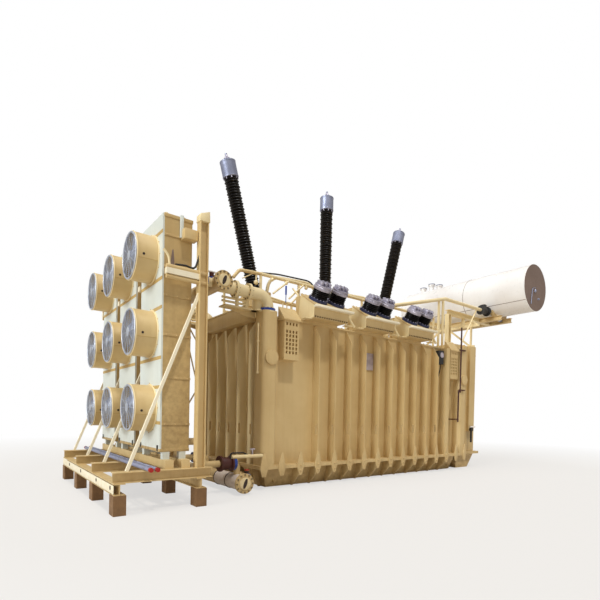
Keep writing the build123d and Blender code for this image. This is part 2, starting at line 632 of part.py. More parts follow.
def make_conservator():
    """Horizontal oil vessel across the right end, its saddles and the bracket frame that carries it."""
    half = CONSERVATOR_LENGTH / 2
    inner = CONSERVATOR_RADIUS - CONSERVATOR_WALL
    ring = Circle(CONSERVATOR_RADIUS) - Circle(inner)
    shell = front_plate(Pos(conservator_x, CONSERVATOR_Z) * ring, -half, CONSERVATOR_LENGTH)
    disc = Pos(conservator_x, CONSERVATOR_Z) * Circle(CONSERVATOR_RADIUS)
    near = front_plate(disc, -half - CONSERVATOR_END_THICKNESS, CONSERVATOR_END_THICKNESS)
    nodes["conservator_shell"] = solids_of(shell)
    nodes["conservator_ends"] = solids_of(near, mirror(near, Plane.XZ))

    beam_z1 = CONSERVATOR_Z - CONSERVATOR_RADIUS - CRADLE_DROP
    beam_z0 = beam_z1 - CRADLE_BEAM_SIZE
    beams = []
    for side in (-1, 1):
        x = conservator_x + side * CRADLE_BEAM_SPREAD
        z = (beam_z0 + beam_z1) / 2
        ends = [(x, end * CRADLE_BEAM_LENGTH / 2, z) for end in (-1, 1)]
        beams.append(h_beam(*ends, CRADLE_BEAM_SIZE, CRADLE_BEAM_SIZE, (1, 0, 0)))
    saddle_top = CONSERVATOR_Z - CONSERVATOR_RADIUS + SADDLE_WRAP
    saddles = []
    for side in (-1, 1):
        saddle = block(conservator_x - SADDLE_WIDTH / 2, conservator_x + SADDLE_WIDTH / 2,
                       side * SADDLE_Y - SADDLE_THICKNESS / 2, side * SADDLE_Y + SADDLE_THICKNESS / 2,
                       beam_z1, saddle_top)
        hollow = round_bar((conservator_x, -half, CONSERVATOR_Z), (conservator_x, half, CONSERVATOR_Z),
                           CONSERVATOR_RADIUS + SEAT_GAP)
        saddles.append(saddle - hollow)
    nodes["conservator_cradle"] = solids_of(*beams, *saddles)

    near_x = wall_x + TRUSS_POST_INSET
    cradle_near = conservator_x - CRADLE_BEAM_SPREAD
    cradle_far = conservator_x + CRADLE_BEAM_SPREAD
    half_beam = CRADLE_BEAM_SIZE / 2
    runner_z = (beam_z0 + beam_z1) / 2
    posts, runners = [], []
    for y in (-truss_y, truss_y):
        posts.append(h_beam((near_x, y, end_box_top_z), (near_x, y, beam_z0), TRUSS_POST_SIZE, TRUSS_POST_SIZE,
                            (0, 1, 0)))
        posts.append(square_bar((cross_x, y, cross_top_z + CHORD_SIZE / 2), (cross_x, y, beam_z0), CHORD_SIZE))
        runners.append(h_beam((near_x - half_beam, y, runner_z), (cradle_near - half_beam, y, runner_z),
                              CRADLE_BEAM_SIZE, CRADLE_BEAM_SIZE, (0, 1, 0)))
        runners.append(h_beam((cradle_near + half_beam, y, runner_z), (cradle_far - half_beam, y, runner_z),
                              CRADLE_BEAM_SIZE, CRADLE_BEAM_SIZE, (0, 1, 0)))
    nodes["bracket_posts"] = solids_of(*posts)
    nodes["bracket_trusses"] = solids_of(*runners, *cross_truss())


def cross_truss():
    """Lattice frame across the top of the end compartment, with a small gable on each side."""
    half_chord = CHORD_SIZE / 2
    low_z = end_box_top_z + half_chord
    top_y = end_box_y + CROSS_TRUSS_OVERHANG
    gable_y = end_box_y - GABLE_INSET
    low = square_bar((cross_x, -end_box_y, low_z), (cross_x, end_box_y, low_z), CHORD_SIZE, side=(1, 0, 0))
    top = square_bar((cross_x, -top_y, cross_top_z), (cross_x, top_y, cross_top_z), CHORD_SIZE, side=(1, 0, 0))
    inside = block(cross_x - CHORD_SIZE, cross_x + CHORD_SIZE, -top_y, top_y,
                   low_z + half_chord, cross_top_z - half_chord)
    above = block(cross_x - CHORD_SIZE, cross_x + CHORD_SIZE, -top_y, top_y,
                  cross_top_z + half_chord, cross_top_z + 2 * GABLE_RISE)
    members = [low, top]
    for side in (-1, 1):
        foot = (cross_x, side * gable_y, low_z)
        apex = (cross_x, side * gable_y, cross_top_z + GABLE_RISE)
        corner = (cross_x, side * (top_y - half_chord), cross_top_z)
        web = square_bar(foot, apex, WEB_SIZE, side=(1, 0, 0))
        web += square_bar((cross_x, side * WEB_MIDDLE_Y, cross_top_z), foot, WEB_SIZE, side=(1, 0, 0))
        members.append(web & inside)
        gable = square_bar(foot, apex, WEB_SIZE, side=(1, 0, 0)) + square_bar(apex, corner, WEB_SIZE, side=(1, 0, 0))
        members.append(gable & above)
    return members


def make_end_compartment():
    """Tall compartment on the right end of the tank, on its own flange and sloping foot."""
    x1 = wall_x + END_BOX_REACH
    box = block(wall_x, x1, -end_box_y, end_box_y, flange_top_z, end_box_top_z)
    box -= block(0, wall_x + COVER_OVERHANG, -end_box_y, end_box_y, WALL_TOP_Z, cover_top_z)
    lip_y = end_box_y + END_BOX_LIP
    box += block(half_length, x1 + END_BOX_LIP, -lip_y, lip_y, tray_flange_z, flange_top_z)
    foot = Polygon((half_length, tray_flange_z), (x1, tray_flange_z), (half_length + END_BOX_FOOT_REACH, 0),
                   (half_length, 0), align=None)
    box += front_plate(foot, -end_box_y, 2 * end_box_y)
    rib_x = wall_x + END_RIB_FROM_WALL
    trunk_x = wall_x + END_TRUNK_FROM_WALL
    rib_y = end_box_y + END_RIB_DEPTH
    trunk_y = end_box_y + END_TRUNK_DEPTH
    rib = block(rib_x, rib_x + END_RIB_THICKNESS, -rib_y, -end_box_y, flange_top_z, end_box_top_z)
    rib += block(trunk_x, trunk_x + END_TRUNK_WIDTH, -trunk_y, -end_box_y, END_TRUNK_BOTTOM_Z, end_box_top_z)
    box = box + rib + mirror(rib, Plane.XZ)
    nodes["end_compartment"] = solids_of(box)


def make_relay_pipe():
    """Rising pipe from the cover into the side of the conservator, with the gas relay in its run."""
    y = RELAY_PIPE_Y
    half = CONSERVATOR_LENGTH / 2
    vessel = round_bar((conservator_x, -half, CONSERVATOR_Z), (conservator_x, half, CONSERVATOR_Z),
                       CONSERVATOR_RADIUS)
    route = [(RELAY_START_X, y, cover_top_z), (RELAY_START_X, y, RELAY_START_Z), (relay_bend_x, y, RELAY_END_Z),
             (conservator_x, y, RELAY_END_Z)]
    pipe = bent_pipe(route, RELAY_PIPE_RADIUS, 2 * RELAY_PIPE_RADIUS)
    pipe += round_bar(route[0], (RELAY_START_X, y, cover_top_z + PIPE_FLANGE_THICKNESS),
                      RELAY_PIPE_RADIUS + FLANGE_RISE)
    half = RELAY_LENGTH / 2
    relay = round_bar((relay_x - half, y, RELAY_END_Z), (relay_x + half, y, RELAY_END_Z), RELAY_RADIUS)
    half = RELAY_HEAD_SIZE / 2
    relay += block(relay_x - half, relay_x + half, y - half, y + half,
                   RELAY_END_Z, RELAY_END_Z + RELAY_HEAD_RISE)
    runs = solids_of(pipe - relay - vessel)
    nodes["gas_relay"] = solids_of(relay)
    slope = (RELAY_END_Z - RELAY_START_Z) / (relay_bend_x - RELAY_START_X)
    clear = round_bar((RELAY_START_X, y, RELAY_START_Z), (relay_bend_x, y, RELAY_END_Z),
                      RELAY_PIPE_RADIUS + SEAT_GAP)
    posts = []
    for x in pipe_post_xs:
        pipe_z = RELAY_START_Z + slope * (x - RELAY_START_X)
        half = PIPE_POST_SIZE / 2
        post = block(x - half, x + half, y - half, y + half, cover_top_z, pipe_z)
        posts.append((post - clear).solids().sort_by(Axis.Z)[0])
    foot = (half_length + PIPE_PROP_FOOT_FROM_END, y, end_box_top_z - PIPE_PROP_RADIUS)
    head = (half_length + PIPE_PROP_HEAD_FROM_END, y, RELAY_END_Z)
    prop = round_bar(foot, head, PIPE_PROP_RADIUS)
    prop &= block(half_length, relay_x, y - RELAY_PIPE_RADIUS, y + RELAY_PIPE_RADIUS, end_box_top_z, RELAY_END_Z)
    prop -= round_bar((half_length, y, RELAY_END_Z), (relay_x, y, RELAY_END_Z), RELAY_PIPE_RADIUS + SEAT_GAP)
    nodes["relay_pipe"] = runs + solids_of(*posts, prop)


def make_guard_rails():
    """Hand rails along the front and rear of the cover."""
    posts = [rail_start_x + i * (rail_end_x - rail_start_x) / RAIL_BAYS for i in range(RAIL_BAYS + 1)]
    rails = []
    for y in (RAIL_FRONT_Y, RAIL_REAR_Y):
        top_z = cover_top_z + RAIL_HEIGHT
        rail = round_bar((rail_start_x, y, top_z), (rail_end_x, y, top_z), RAIL_RADIUS)
        mid_z = cover_top_z + RAIL_HEIGHT / 2
        half = RAIL_POST_SIZE / 2
        rail += square_bar((rail_start_x, y, mid_z), (rail_end_x, y, mid_z), RAIL_POST_SIZE)
        for x in posts:
            rail += block(x - half, x + half, y - half, y + half, cover_top_z, top_z)
        rails.append(rail)
    nodes["guard_rails"] = solids_of(*rails)


def make_wall_fittings():
    """Cable column, instrument box and the stepped earthing bar on the front."""
    x0 = cable_column_x - CABLE_COLUMN_WIDTH / 2
    column = block(x0, x0 + CABLE_COLUMN_WIDTH, -half_width, -wall_y, flange_top_z, WALL_TOP_Z)
    nodes["cable_column"] = solids_of(column)
    box = block(instrument_x - INSTRUMENT_WIDTH / 2, instrument_x + INSTRUMENT_WIDTH / 2,
                -wall_y - INSTRUMENT_DEPTH, -wall_y, INSTRUMENT_Z - INSTRUMENT_HEIGHT / 2,
                INSTRUMENT_Z + INSTRUMENT_HEIGHT / 2)
    nodes["instrument_box"] = solids_of(fillet(box.edges().filter_by(Axis.Z), INSTRUMENT_CORNER))
    half = EARTH_BAR_WIDTH / 2
    outline = Pos(earth_upper_x, (EARTH_TOP_Z + EARTH_STEP_Z) / 2) * Rectangle(
        EARTH_BAR_WIDTH, EARTH_TOP_Z - EARTH_STEP_Z)
    outline += Pos(earth_lower_x, (EARTH_STEP_Z + EARTH_BOTTOM_Z) / 2) * Rectangle(
        EARTH_BAR_WIDTH, EARTH_STEP_Z - EARTH_BOTTOM_Z)
    outline += Pos((earth_upper_x + earth_lower_x) / 2, EARTH_STEP_Z) * Rectangle(
        earth_upper_x - earth_lower_x + EARTH_BAR_WIDTH, EARTH_BAR_WIDTH)
    bar_y = -half_width - EARTH_STANDOFF
    duct_x = half_length - (DUCT_INNER_FROM_END + DUCT_OUTER_FROM_END) / 2
    bar = front_plate(outline, bar_y - EARTH_BAR_THICKNESS, EARTH_BAR_THICKNESS)
    for z in (DUCT_TOP_Z - EARTH_BAR_WIDTH, EARTH_STEP_Z + EARTH_BAR_WIDTH):
        bar += block(earth_upper_x, duct_x, bar_y, -half_width, z - half, z)
    foot_z = EARTH_BOTTOM_Z + EARTH_BAR_WIDTH
    bar += block(earth_lower_x - half, earth_lower_x + half, bar_y, -wall_y, foot_z, foot_z + half)
    nodes["earthing_bar"] = solids_of(bar)


def straight_header(x, z, length, radius):
    """Straight pipe along Y with a blind flange on each end."""
    half = length / 2
    header = round_bar((x, -half, z), (x, half, z), radius)
    for end in (-1, 1):
        inner = end * (half - 2 * PIPE_FLANGE_THICKNESS)
        header += round_bar((x, inner, z), (x, end * half, z), radius + FLANGE_RISE)
    return header


def make_upper_pipes():
    """Upper header behind the coolers, its valves, and the elbows down into the corner ducts."""
    header = straight_header(header_x, HEADER_Z, HEADER_LENGTH, HEADER_RADIUS)
    ring_top = DUCT_TOP_Z + DUCT_RING_HEIGHT
    branches, valves = [], []
    for end in (-1, 1):
        y = end * duct_pipe_y
        route = [(header_x, y, HEADER_Z), (duct_pipe_x, y, HEADER_Z), (duct_pipe_x, y, ring_top)]
        branch = bent_pipe(route, ELBOW_RADIUS, ELBOW_BEND)
        for x in branch_flange_xs:
            branch += round_bar((x - PIPE_FLANGE_THICKNESS, y, HEADER_Z), (x + PIPE_FLANGE_THICKNESS, y, HEADER_Z),
                                ELBOW_RADIUS + FLANGE_RISE)
        branches.append(branch - header)
        valves.append(round_bar((duct_pipe_x, y, DUCT_TOP_Z), (duct_pipe_x, y, ring_top), DUCT_RING_RADIUS))
    for y in cooler_ys:
        valve_end = upper_valve_x + STUB_VALVE_LENGTH
        valve = round_bar((upper_valve_x, y, HEADER_Z), (valve_end, y, HEADER_Z), COOLER_STUB_RADIUS + FLANGE_RISE)
        stub = round_bar((cooler_back_x, y, HEADER_Z), (header_x, y, HEADER_Z), COOLER_STUB_RADIUS)
        branches.append(stub - valve - header)
        valves.append(valve)
    nodes["upper_header"] = solids_of(header)
    nodes["upper_branches"] = solids_of(*branches)
    return valves


def make_lower_pipes(valves):
    """Lower header near the ground, the coolers' return pipes with valves, and the stubs into the tray."""
    x, z = lower_header_x, LOWER_HEADER_Z
    header = straight_header(x, z, LOWER_HEADER_LENGTH, LOWER_HEADER_RADIUS)
    branches = []
    for y in (-truss_y, truss_y):
        stub = round_bar((x, y, z), (-wall_x + TRAY_WALL, y, z), LOWER_STUB_RADIUS + FLANGE_RISE / 2)
        stub = stub - nodes["tank_tray"][0] - header
        branches.append(stub.solids().sort_by(Axis.X)[0])
    for y in cooler_ys:
        route = [(cooler_back_x, y, LOWER_OUTLET_Z), (lower_drop_x, y, LOWER_OUTLET_Z),
                 (lower_drop_x, y, LOWER_STUB_Z), (x, y, LOWER_STUB_Z), (x, y, z)]
        valve_end = lower_valve_x + STUB_VALVE_LENGTH
        valve = round_bar((lower_valve_x, y, LOWER_STUB_Z), (valve_end, y, LOWER_STUB_Z),
                          LOWER_STUB_RADIUS + FLANGE_RISE)
        branches.append(bent_pipe(route, LOWER_STUB_RADIUS, LOWER_BEND) - valve - header)
        valves.append(valve)
    nodes["lower_header"] = solids_of(header)
    nodes["lower_branches"] = solids_of(*branches)
    nodes["pipe_valves"] = solids_of(*valves)


def make_tie_tubes():
    """Two loose tubes that lie across the base beams in front of the coolers."""
    tubes = []
    for tube_x in tie_tube_xs:
        z = BASE_BEAM_TOP_Z + TIE_TUBE_RADIUS
        tubes.append(round_bar((tube_x, -TIE_TUBE_LENGTH / 2, z), (tube_x, TIE_TUBE_LENGTH / 2, z), TIE_TUBE_RADIUS))
    nodes["tie_tubes"] = solids_of(*tubes)


def make_coolers():
    """Cooler bodies and the fan panels on their fronts."""
    panels = []
    for number, y in enumerate(cooler_ys, start=1):
        body = block(cooler_front_x + PANEL_THICKNESS, cooler_back_x, y - COOLER_WIDTH / 2, y + COOLER_WIDTH / 2,
                     COOLER_BOTTOM_Z, COOLER_TOP_Z)
        nodes[f"cooler_body_{number}"] = solids_of(body)
        panel = block(cooler_front_x, cooler_front_x + PANEL_THICKNESS, y - COOLER_WIDTH / 2, y + COOLER_WIDTH / 2,
                      COOLER_BOTTOM_Z, COOLER_TOP_Z)
        for z in fan_zs:
            panel -= round_bar((cooler_front_x, y, z), (cooler_front_x + PANEL_THICKNESS, y, z),
                               SHROUD_RADIUS - SHROUD_WALL)
        panels.append(panel)
    nodes["fan_panels"] = solids_of(*panels)


def fan_rotor():
    """Hub with pitched blades about the X axis, its hub centre at the origin."""
    hub = Rot(0, 90, 0) * Cylinder(HUB_RADIUS, HUB_LENGTH)
    rotor = hub
    reach = BLADE_TIP_RADIUS
    for blade in range(BLADE_COUNT):
        plate = Pos(0, 0, (reach + BLADE_ROOT_RADIUS) / 2) * Box(
            BLADE_THICKNESS, BLADE_CHORD, reach - BLADE_ROOT_RADIUS)
        plate = Rot(0, 0, BLADE_PITCH_ANGLE) * plate
        rotor += Rot(blade * 360 / BLADE_COUNT, 0, 0) * plate
    rotor &= Rot(0, 90, 0) * Cylinder(BLADE_TIP_RADIUS, 4 * HUB_LENGTH)
    rotor -= Rot(0, 90, 0) * Cylinder(SHAFT_RADIUS + SHAFT_CLEARANCE, 4 * HUB_LENGTH)
    return rotor


def make_fans():
    """Shrouds, guards, motors on arms, and the rotors that turn on the motor shafts."""
    shrouds, guards, motors = [], [], []
    rotor = fan_rotor()
    inner = SHROUD_RADIUS - SHROUD_WALL
    motor_back = cooler_front_x - MOTOR_GAP
    motor_front = motor_back - MOTOR_LENGTH
    hub_x = motor_front - HUB_GAP - HUB_LENGTH / 2
    number = 0
    for y in cooler_ys:
        for z in fan_zs:
            number += 1
            tube = Pos(y, z) * (Circle(SHROUD_RADIUS) - Circle(inner))
            shrouds.append(side_plate(tube, shroud_mouth_x, SHROUD_LENGTH))
            rim = Circle(SHROUD_RADIUS) - Circle(SHROUD_RADIUS - GUARD_RIM)
            for spoke in range(GUARD_SPOKES // 2):
                rim += Rot(0, 0, spoke * 360 / GUARD_SPOKES) * Rectangle(
                    2 * SHROUD_RADIUS - GUARD_RIM, GUARD_BAR)
            rim += Circle(GUARD_BOSS_RADIUS)
            guards.append(side_plate(Pos(y, z) * rim, shroud_mouth_x - GUARD_THICKNESS, GUARD_THICKNESS))
            motor = round_bar((motor_back, y, z), (motor_front, y, z), MOTOR_RADIUS)
            cross = Rectangle(2 * inner, ARM_WIDTH) + Rectangle(ARM_WIDTH, 2 * inner)
            arms = side_plate(Pos(y, z) * cross, motor_back - ARM_WIDTH, ARM_WIDTH)
            arms &= round_bar((motor_back, y, z), (motor_back - ARM_WIDTH, y, z), inner - SEAT_GAP)
            shaft_end = hub_x - HUB_LENGTH / 2
            motor = motor + arms + round_bar((motor_front, y, z), (shaft_end, y, z), SHAFT_RADIUS)
            motors.append(motor)
            nodes[f"fan_rotor_{number}"] = solids_of(Pos(hub_x, y, z) * rotor)
    nodes["fan_shrouds"] = solids_of(*shrouds)
    nodes["fan_guards"] = solids_of(*guards)
    nodes["fan_motors"] = solids_of(*motors)


def make_cooler_frame():
    """Base beams on feet, posts, diagonal braces, side arms and the coolers' legs."""
    beam_z = BASE_BEAM_TOP_Z - BASE_BEAM_SIZE / 2
    under_z = BASE_BEAM_TOP_Z - BASE_BEAM_SIZE
    foot_top = under_z - EDGE_BEAM_HEIGHT
    edge_xs = [edge_beam_x, frame_post_x]
    beams = [h_beam((base_beam_left_x, y, beam_z), (base_beam_right_x, y, beam_z),
                    BASE_BEAM_SIZE, BASE_BEAM_SIZE, (0, 1, 0)) for y in frame_ys]
    edge_z = under_z - EDGE_BEAM_HEIGHT / 2
    edges = [h_beam((x, -EDGE_BEAM_LENGTH / 2, edge_z), (x, EDGE_BEAM_LENGTH / 2, edge_z),
                    BASE_BEAM_SIZE, EDGE_BEAM_HEIGHT, (1, 0, 0)) for x in edge_xs]
    feet = [block(x - FOOT_WIDTH / 2, x + FOOT_WIDTH / 2, y - FOOT_LENGTH / 2, y + FOOT_LENGTH / 2, 0, foot_top)
            for x in edge_xs for y in frame_ys]
    nodes["frame_feet"] = solids_of(*feet)
    posts = [h_beam((frame_post_x, y, BASE_BEAM_TOP_Z), (frame_post_x, y, FRAME_TOP_Z),
                    FRAME_POST_SIZE, FRAME_POST_SIZE, (0, 1, 0)) for y in frame_ys]
    nodes["frame_posts"] = solids_of(*posts)
    post_front_x = frame_post_x - FRAME_POST_SIZE / 2
    braces, arms = [], []
    for y in frame_ys:
        space = block(2 * brace_foot_x, post_front_x, y - BRACE_SIZE, y + BRACE_SIZE, BASE_BEAM_TOP_Z, FRAME_TOP_Z)
        brace = square_bar((brace_foot_x, y, BASE_BEAM_TOP_Z), (frame_post_x, y, BRACE_HEAD_Z), BRACE_SIZE)
        braces.append(brace & space)
        arms.append(square_bar((cooler_front_x, y, SIDE_ARM_Z), (post_front_x, y, SIDE_ARM_Z), SIDE_ARM_SIZE))
    nodes["frame_braces"] = solids_of(*braces, *arms)
    legs, sills = [], []
    sill_top = BASE_BEAM_TOP_Z + SILL_SIZE
    half_leg = COOLER_LEG_SIZE / 2
    for x in (cooler_front_x + COOLER_LEG_SIZE, cooler_back_x - COOLER_LEG_SIZE):
        sill_z = (BASE_BEAM_TOP_Z + sill_top) / 2
        sills.append(square_bar((x, frame_ys[0], sill_z), (x, frame_ys[-1], sill_z), SILL_SIZE, side=(1, 0, 0)))
        for y in cooler_ys:
            for side in (-1, 1):
                centre = y + side * (COOLER_WIDTH - COOLER_LEG_SIZE) / 2
                legs.append(block(x - half_leg, x + half_leg, centre - half_leg, centre + half_leg,
                                  sill_top, COOLER_BOTTOM_Z))
    nodes["base_beams"] = solids_of(*beams, *edges, *sills)
    nodes["cooler_legs"] = solids_of(*legs)


def main():
    nodes["tank_tray"] = solids_of(make_tray())
    make_tank()
    make_fins()
    make_lugs()
    make_corner_ducts()
    make_louvre_boxes()
    make_lv_side()
    make_hv_side()
    make_end_compartment()
    make_conservator()
    make_relay_pipe()
    make_guard_rails()
    make_wall_fittings()
    make_coolers()
    make_fans()
    make_cooler_frame()
    make_tie_tubes()
    valves = make_upper_pipes()
    make_lower_pipes(valves)
    os.makedirs("parts", exist_ok=True)
    for name, solids in nodes.items():
        shape = solids[0] if len(solids) == 1 else Compound(children=solids)
        export_step(shape, f"parts/{name}.step")


main()
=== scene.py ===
from math import atan2, cos, pi, radians, sin

import bmesh
import bpy
from mathutils import Matrix, Vector


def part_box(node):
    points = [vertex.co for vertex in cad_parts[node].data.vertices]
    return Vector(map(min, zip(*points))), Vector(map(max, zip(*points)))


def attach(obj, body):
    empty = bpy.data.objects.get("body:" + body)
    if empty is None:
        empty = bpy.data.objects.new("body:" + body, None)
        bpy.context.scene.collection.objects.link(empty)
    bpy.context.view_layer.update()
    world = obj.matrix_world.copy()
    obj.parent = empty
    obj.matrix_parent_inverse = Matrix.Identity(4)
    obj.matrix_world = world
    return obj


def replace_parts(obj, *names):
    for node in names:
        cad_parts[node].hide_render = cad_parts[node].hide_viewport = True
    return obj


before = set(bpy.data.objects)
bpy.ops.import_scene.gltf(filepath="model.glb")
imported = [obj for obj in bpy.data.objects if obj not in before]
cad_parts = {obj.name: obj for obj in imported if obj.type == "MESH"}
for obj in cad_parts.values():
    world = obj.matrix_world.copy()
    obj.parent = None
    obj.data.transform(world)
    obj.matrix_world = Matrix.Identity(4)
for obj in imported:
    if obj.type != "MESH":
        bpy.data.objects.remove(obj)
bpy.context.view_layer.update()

# Power transformer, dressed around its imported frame. Metres, +Z up, ground at Z = 0.
# +X runs along the tank from the cooler bank to the conservator, -Y is the low-voltage front.

scene = bpy.context.scene
scene.view_settings.view_transform = "Standard"

TANK = "transformer"
ACROSS = (-1, 1)

# Camera, measured from the photograph's vanishing lines
CAMERA_PLACE = (-9.026, -9.667, 1.7)
CAMERA_YAW = radians(37.923)
CAMERA_PITCH = radians(-0.925)
CAMERA_ROLL = radians(1.211)
FOCAL_PIXELS = 429.2
CENTRE_PIXEL = (306.25, 421.69)
IMAGE_SIZE = 600
SENSOR_WIDTH = 36.0

# Low-voltage turrets and bushings
LV_XS = (-2.2, -0.48, 1.24)
LV_HALF_WIDTH = 0.55
LV_SPACING = 0.55
LV_LIP = (-1.86, 4.26)
LV_RIDGE = (-1.34, 4.59)
LV_FOOT = (-1.79, 3.99)
LV_BACK_Y = -1.10
LV_LID_THICKNESS = 0.025
LV_RING_HEIGHT = 0.055
LV_BODY_HEIGHT = 0.29
LV_CAP_RADIUS = 0.205
LV_CAP_HEIGHT = 0.045

# Middle of the corner ducts
DUCT_X = 3.79
DUCT_Y = 1.445

# High-voltage bushings
HV_CENTRE_X = -0.6
HV_PITCH = 2.195
HV_Y = 0.365
HV_LEAN = radians(15.3)
HV_TURRET_HEIGHT = 0.89
HV_FLANGE_THICKNESS = 0.06
HV_BODY_LENGTH = 2.97
HV_SHIELD_RADIUS = 0.2
HV_SHIELD_HEIGHT = 0.39

# Coolers, their frame, the front rail and the near lower valve
COOLER_SEAM_ZS = (4.88, 4.06, 3.55, 2.66, 2.14, 1.5)
COOLER_BAND_ZS = (4.83, 4.27, 3.77, 3.07, 2.31, 1.48)
ROD_X = -5.737
POST_Y = 2.28
INNER_POST_Y = 0.76
RAIL_Y, RAIL_Z = -0.75, 5.07
VALVE_Y, VALVE_Z = -1.521, 0.64

# Frame boxes that the pieces are placed from
wall_low, wall_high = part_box("front_wall")
cover_low, cover_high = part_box("tank_cover")
flange_low, flange_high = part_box("bell_flange")
guard_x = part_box("fan_shrouds")[0].x - 0.006
shell_low, shell_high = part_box("conservator_shell")
FAN_RADIUS = 0.425
GUARD_RINGS = 9
GUARD_INNER_RING = 0.11
GUARD_OUTER_RING = 0.385
GUARD_SPOKES = 12
HOLE_ANGLE = 0.12
SEAM_ANGLE = radians(219)
FIN_PITCH = 0.531
FIN_THICKNESS = 0.025
FIN_TOP = 3.88
fin_xs = [(i - 4.5) * FIN_PITCH for i in range(10)]
lug_xs = [(i - 5.5) * FIN_PITCH for i in range(12)]
cooler_boxes = [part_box(f"cooler_body_{number}") for number in (1, 2, 3)]
cooler_front_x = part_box("fan_panels")[0].x
fan_centres = []
for number in range(1, 10):
    low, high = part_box(f"fan_rotor_{number}")
    fan_centres.append((low + high) / 2)


# Materials

def material_base(name):
    """Empty node material: its tree, its shader and its Object coordinates."""
    material = bpy.data.materials.new(name)
    material.use_nodes = True
    tree = material.node_tree
    coordinates = tree.nodes.new("ShaderNodeTexCoord")
    return material, tree, tree.nodes["Principled BSDF"], coordinates.outputs["Object"]


def stretched(tree, coordinates, scale):
    """Object coordinates stretched by a Mapping node."""
    mapping = tree.nodes.new("ShaderNodeMapping")
    mapping.inputs["Scale"].default_value = scale
    tree.links.new(coordinates, mapping.inputs["Vector"])
    return mapping.outputs["Vector"]


def noise(tree, coordinates, scale, detail=4.0, roughness=0.55):
    texture = tree.nodes.new("ShaderNodeTexNoise")
    texture.inputs["Scale"].default_value = scale
    texture.inputs["Detail"].default_value = detail
    texture.inputs["Roughness"].default_value = roughness
    tree.links.new(coordinates, texture.inputs["Vector"])
    return texture.outputs["Fac"]


def remap(tree, value, low, high, to_low, to_high):
    ranger = tree.nodes.new("ShaderNodeMapRange")
    ranger.inputs["From Min"].default_value = low
    ranger.inputs["From Max"].default_value = high
    ranger.inputs["To Min"].default_value = to_low
    ranger.inputs["To Max"].default_value = to_high
    tree.links.new(value, ranger.inputs["Value"])
    return ranger.outputs["Result"]


def linear(colour):
    """A colour written in display values of 0 to 255."""
    def decode(value):
        value /= 255
        return value / 12.92 if value <= 0.04045 else ((value + 0.055) / 1.055) ** 2.4
    return (*map(decode, colour), 1.0)


def mixed(tree, factor, first, second):
    """Colour mix: each colour is written in display values or is another node's output."""
    mix = tree.nodes.new("ShaderNodeMix")
    mix.data_type = "RGBA"
    tree.links.new(factor, mix.inputs["Factor"])
    for socket, colour in ((mix.inputs[6], first), (mix.inputs[7], second)):
        if isinstance(colour, tuple):
            socket.default_value = linear(colour)
        else:
            tree.links.new(colour, socket)
    return mix.outputs[2]


def bumped(tree, shader, layers):
    """Bump layers one on another, each a height, a depth in metres and a strength."""
    normal = None
    for height, depth, strength in layers:
        bump = tree.nodes.new("ShaderNodeBump")
        bump.inputs["Distance"].default_value = depth
        bump.inputs["Strength"].default_value = strength
        tree.links.new(height, bump.inputs["Height"])
        if normal is not None:
            tree.links.new(normal, bump.inputs["Normal"])
        normal = bump.outputs["Normal"]
    tree.links.new(normal, shader.inputs["Normal"])


def paint(name, colour, shade, dust, roughness=0.42, dust_and_shade_height=0.9, dust_and_shade_amount=0.5, streaks=0.35):
    """Sprayed paint: cloudy colour, faint rain streaks, darkening towards the ground and orange peel. The
    darkening is dust; where a paint raises it over the whole height, as on the coolers, it is painted shade
    as well.
    """
    material, tree, shader, coordinates = material_base(name)
    clouds = noise(tree, coordinates, 1.1, 5.0)
    mottle = noise(tree, coordinates, 9.0, 6.0, 0.62)
    runs = noise(tree, stretched(tree, coordinates, (7.0, 7.0, 0.35)), 1.6, 4.0)
    body = mixed(tree, remap(tree, clouds, 0.35, 0.68, 0.0, 0.55), colour, shade)
    body = mixed(tree, remap(tree, runs, 0.5, 0.75, 0.0, streaks), body, shade)
    # Darkening towards the ground: dust, and painted shade on the coolers, whose paint raises it over their
    # whole height.
    split = tree.nodes.new("ShaderNodeSeparateXYZ")
    tree.links.new(coordinates, split.inputs["Vector"])
    height = remap(tree, split.outputs["Z"], 0.0, dust_and_shade_height, 1.0, 0.0)
    dust_and_shade_mask = tree.nodes.new("ShaderNodeMath")
    dust_and_shade_mask.operation = "MULTIPLY"
    tree.links.new(height, dust_and_shade_mask.inputs[0])
    tree.links.new(remap(tree, mottle, 0.38, 0.66, 0.1, dust_and_shade_amount), dust_and_shade_mask.inputs[1])
    body = mixed(tree, dust_and_shade_mask.outputs["Value"], body, dust)
    tree.links.new(body, shader.inputs["Base Color"])
    tree.links.new(remap(tree, mottle, 0.3, 0.7, roughness - 0.07, roughness + 0.12),
                   shader.inputs["Roughness"])
    peel = noise(tree, coordinates, 140.0, 2.0)
    waves = noise(tree, coordinates, 2.4, 2.0)
    bumped(tree, shader, [(waves, 0.012, 0.25), (peel, 0.0006, 0.35)])
    return material


def metal(name, colour, tarnish, roughness, brushed=(60.0, 60.0, 3.0)):
    """Bare or cast metal with a drawn grain and duller patches."""
    material, tree, shader, coordinates = material_base(name)
    grain = noise(tree, stretched(tree, coordinates, brushed), 3.0, 3.0)
    blotch = noise(tree, coordinates, 6.0, 5.0)
    body = mixed(tree, remap(tree, blotch, 0.4, 0.66, 0.0, 0.7), colour, tarnish)
    tree.links.new(body, shader.inputs["Base Color"])
    tree.links.new(remap(tree, blotch, 0.35, 0.7, roughness, roughness + 0.22), shader.inputs["Roughness"])
    shader.inputs["Metallic"].default_value = 0.5
    bumped(tree, shader, [(grain, 0.0006, 0.5)])
    return material


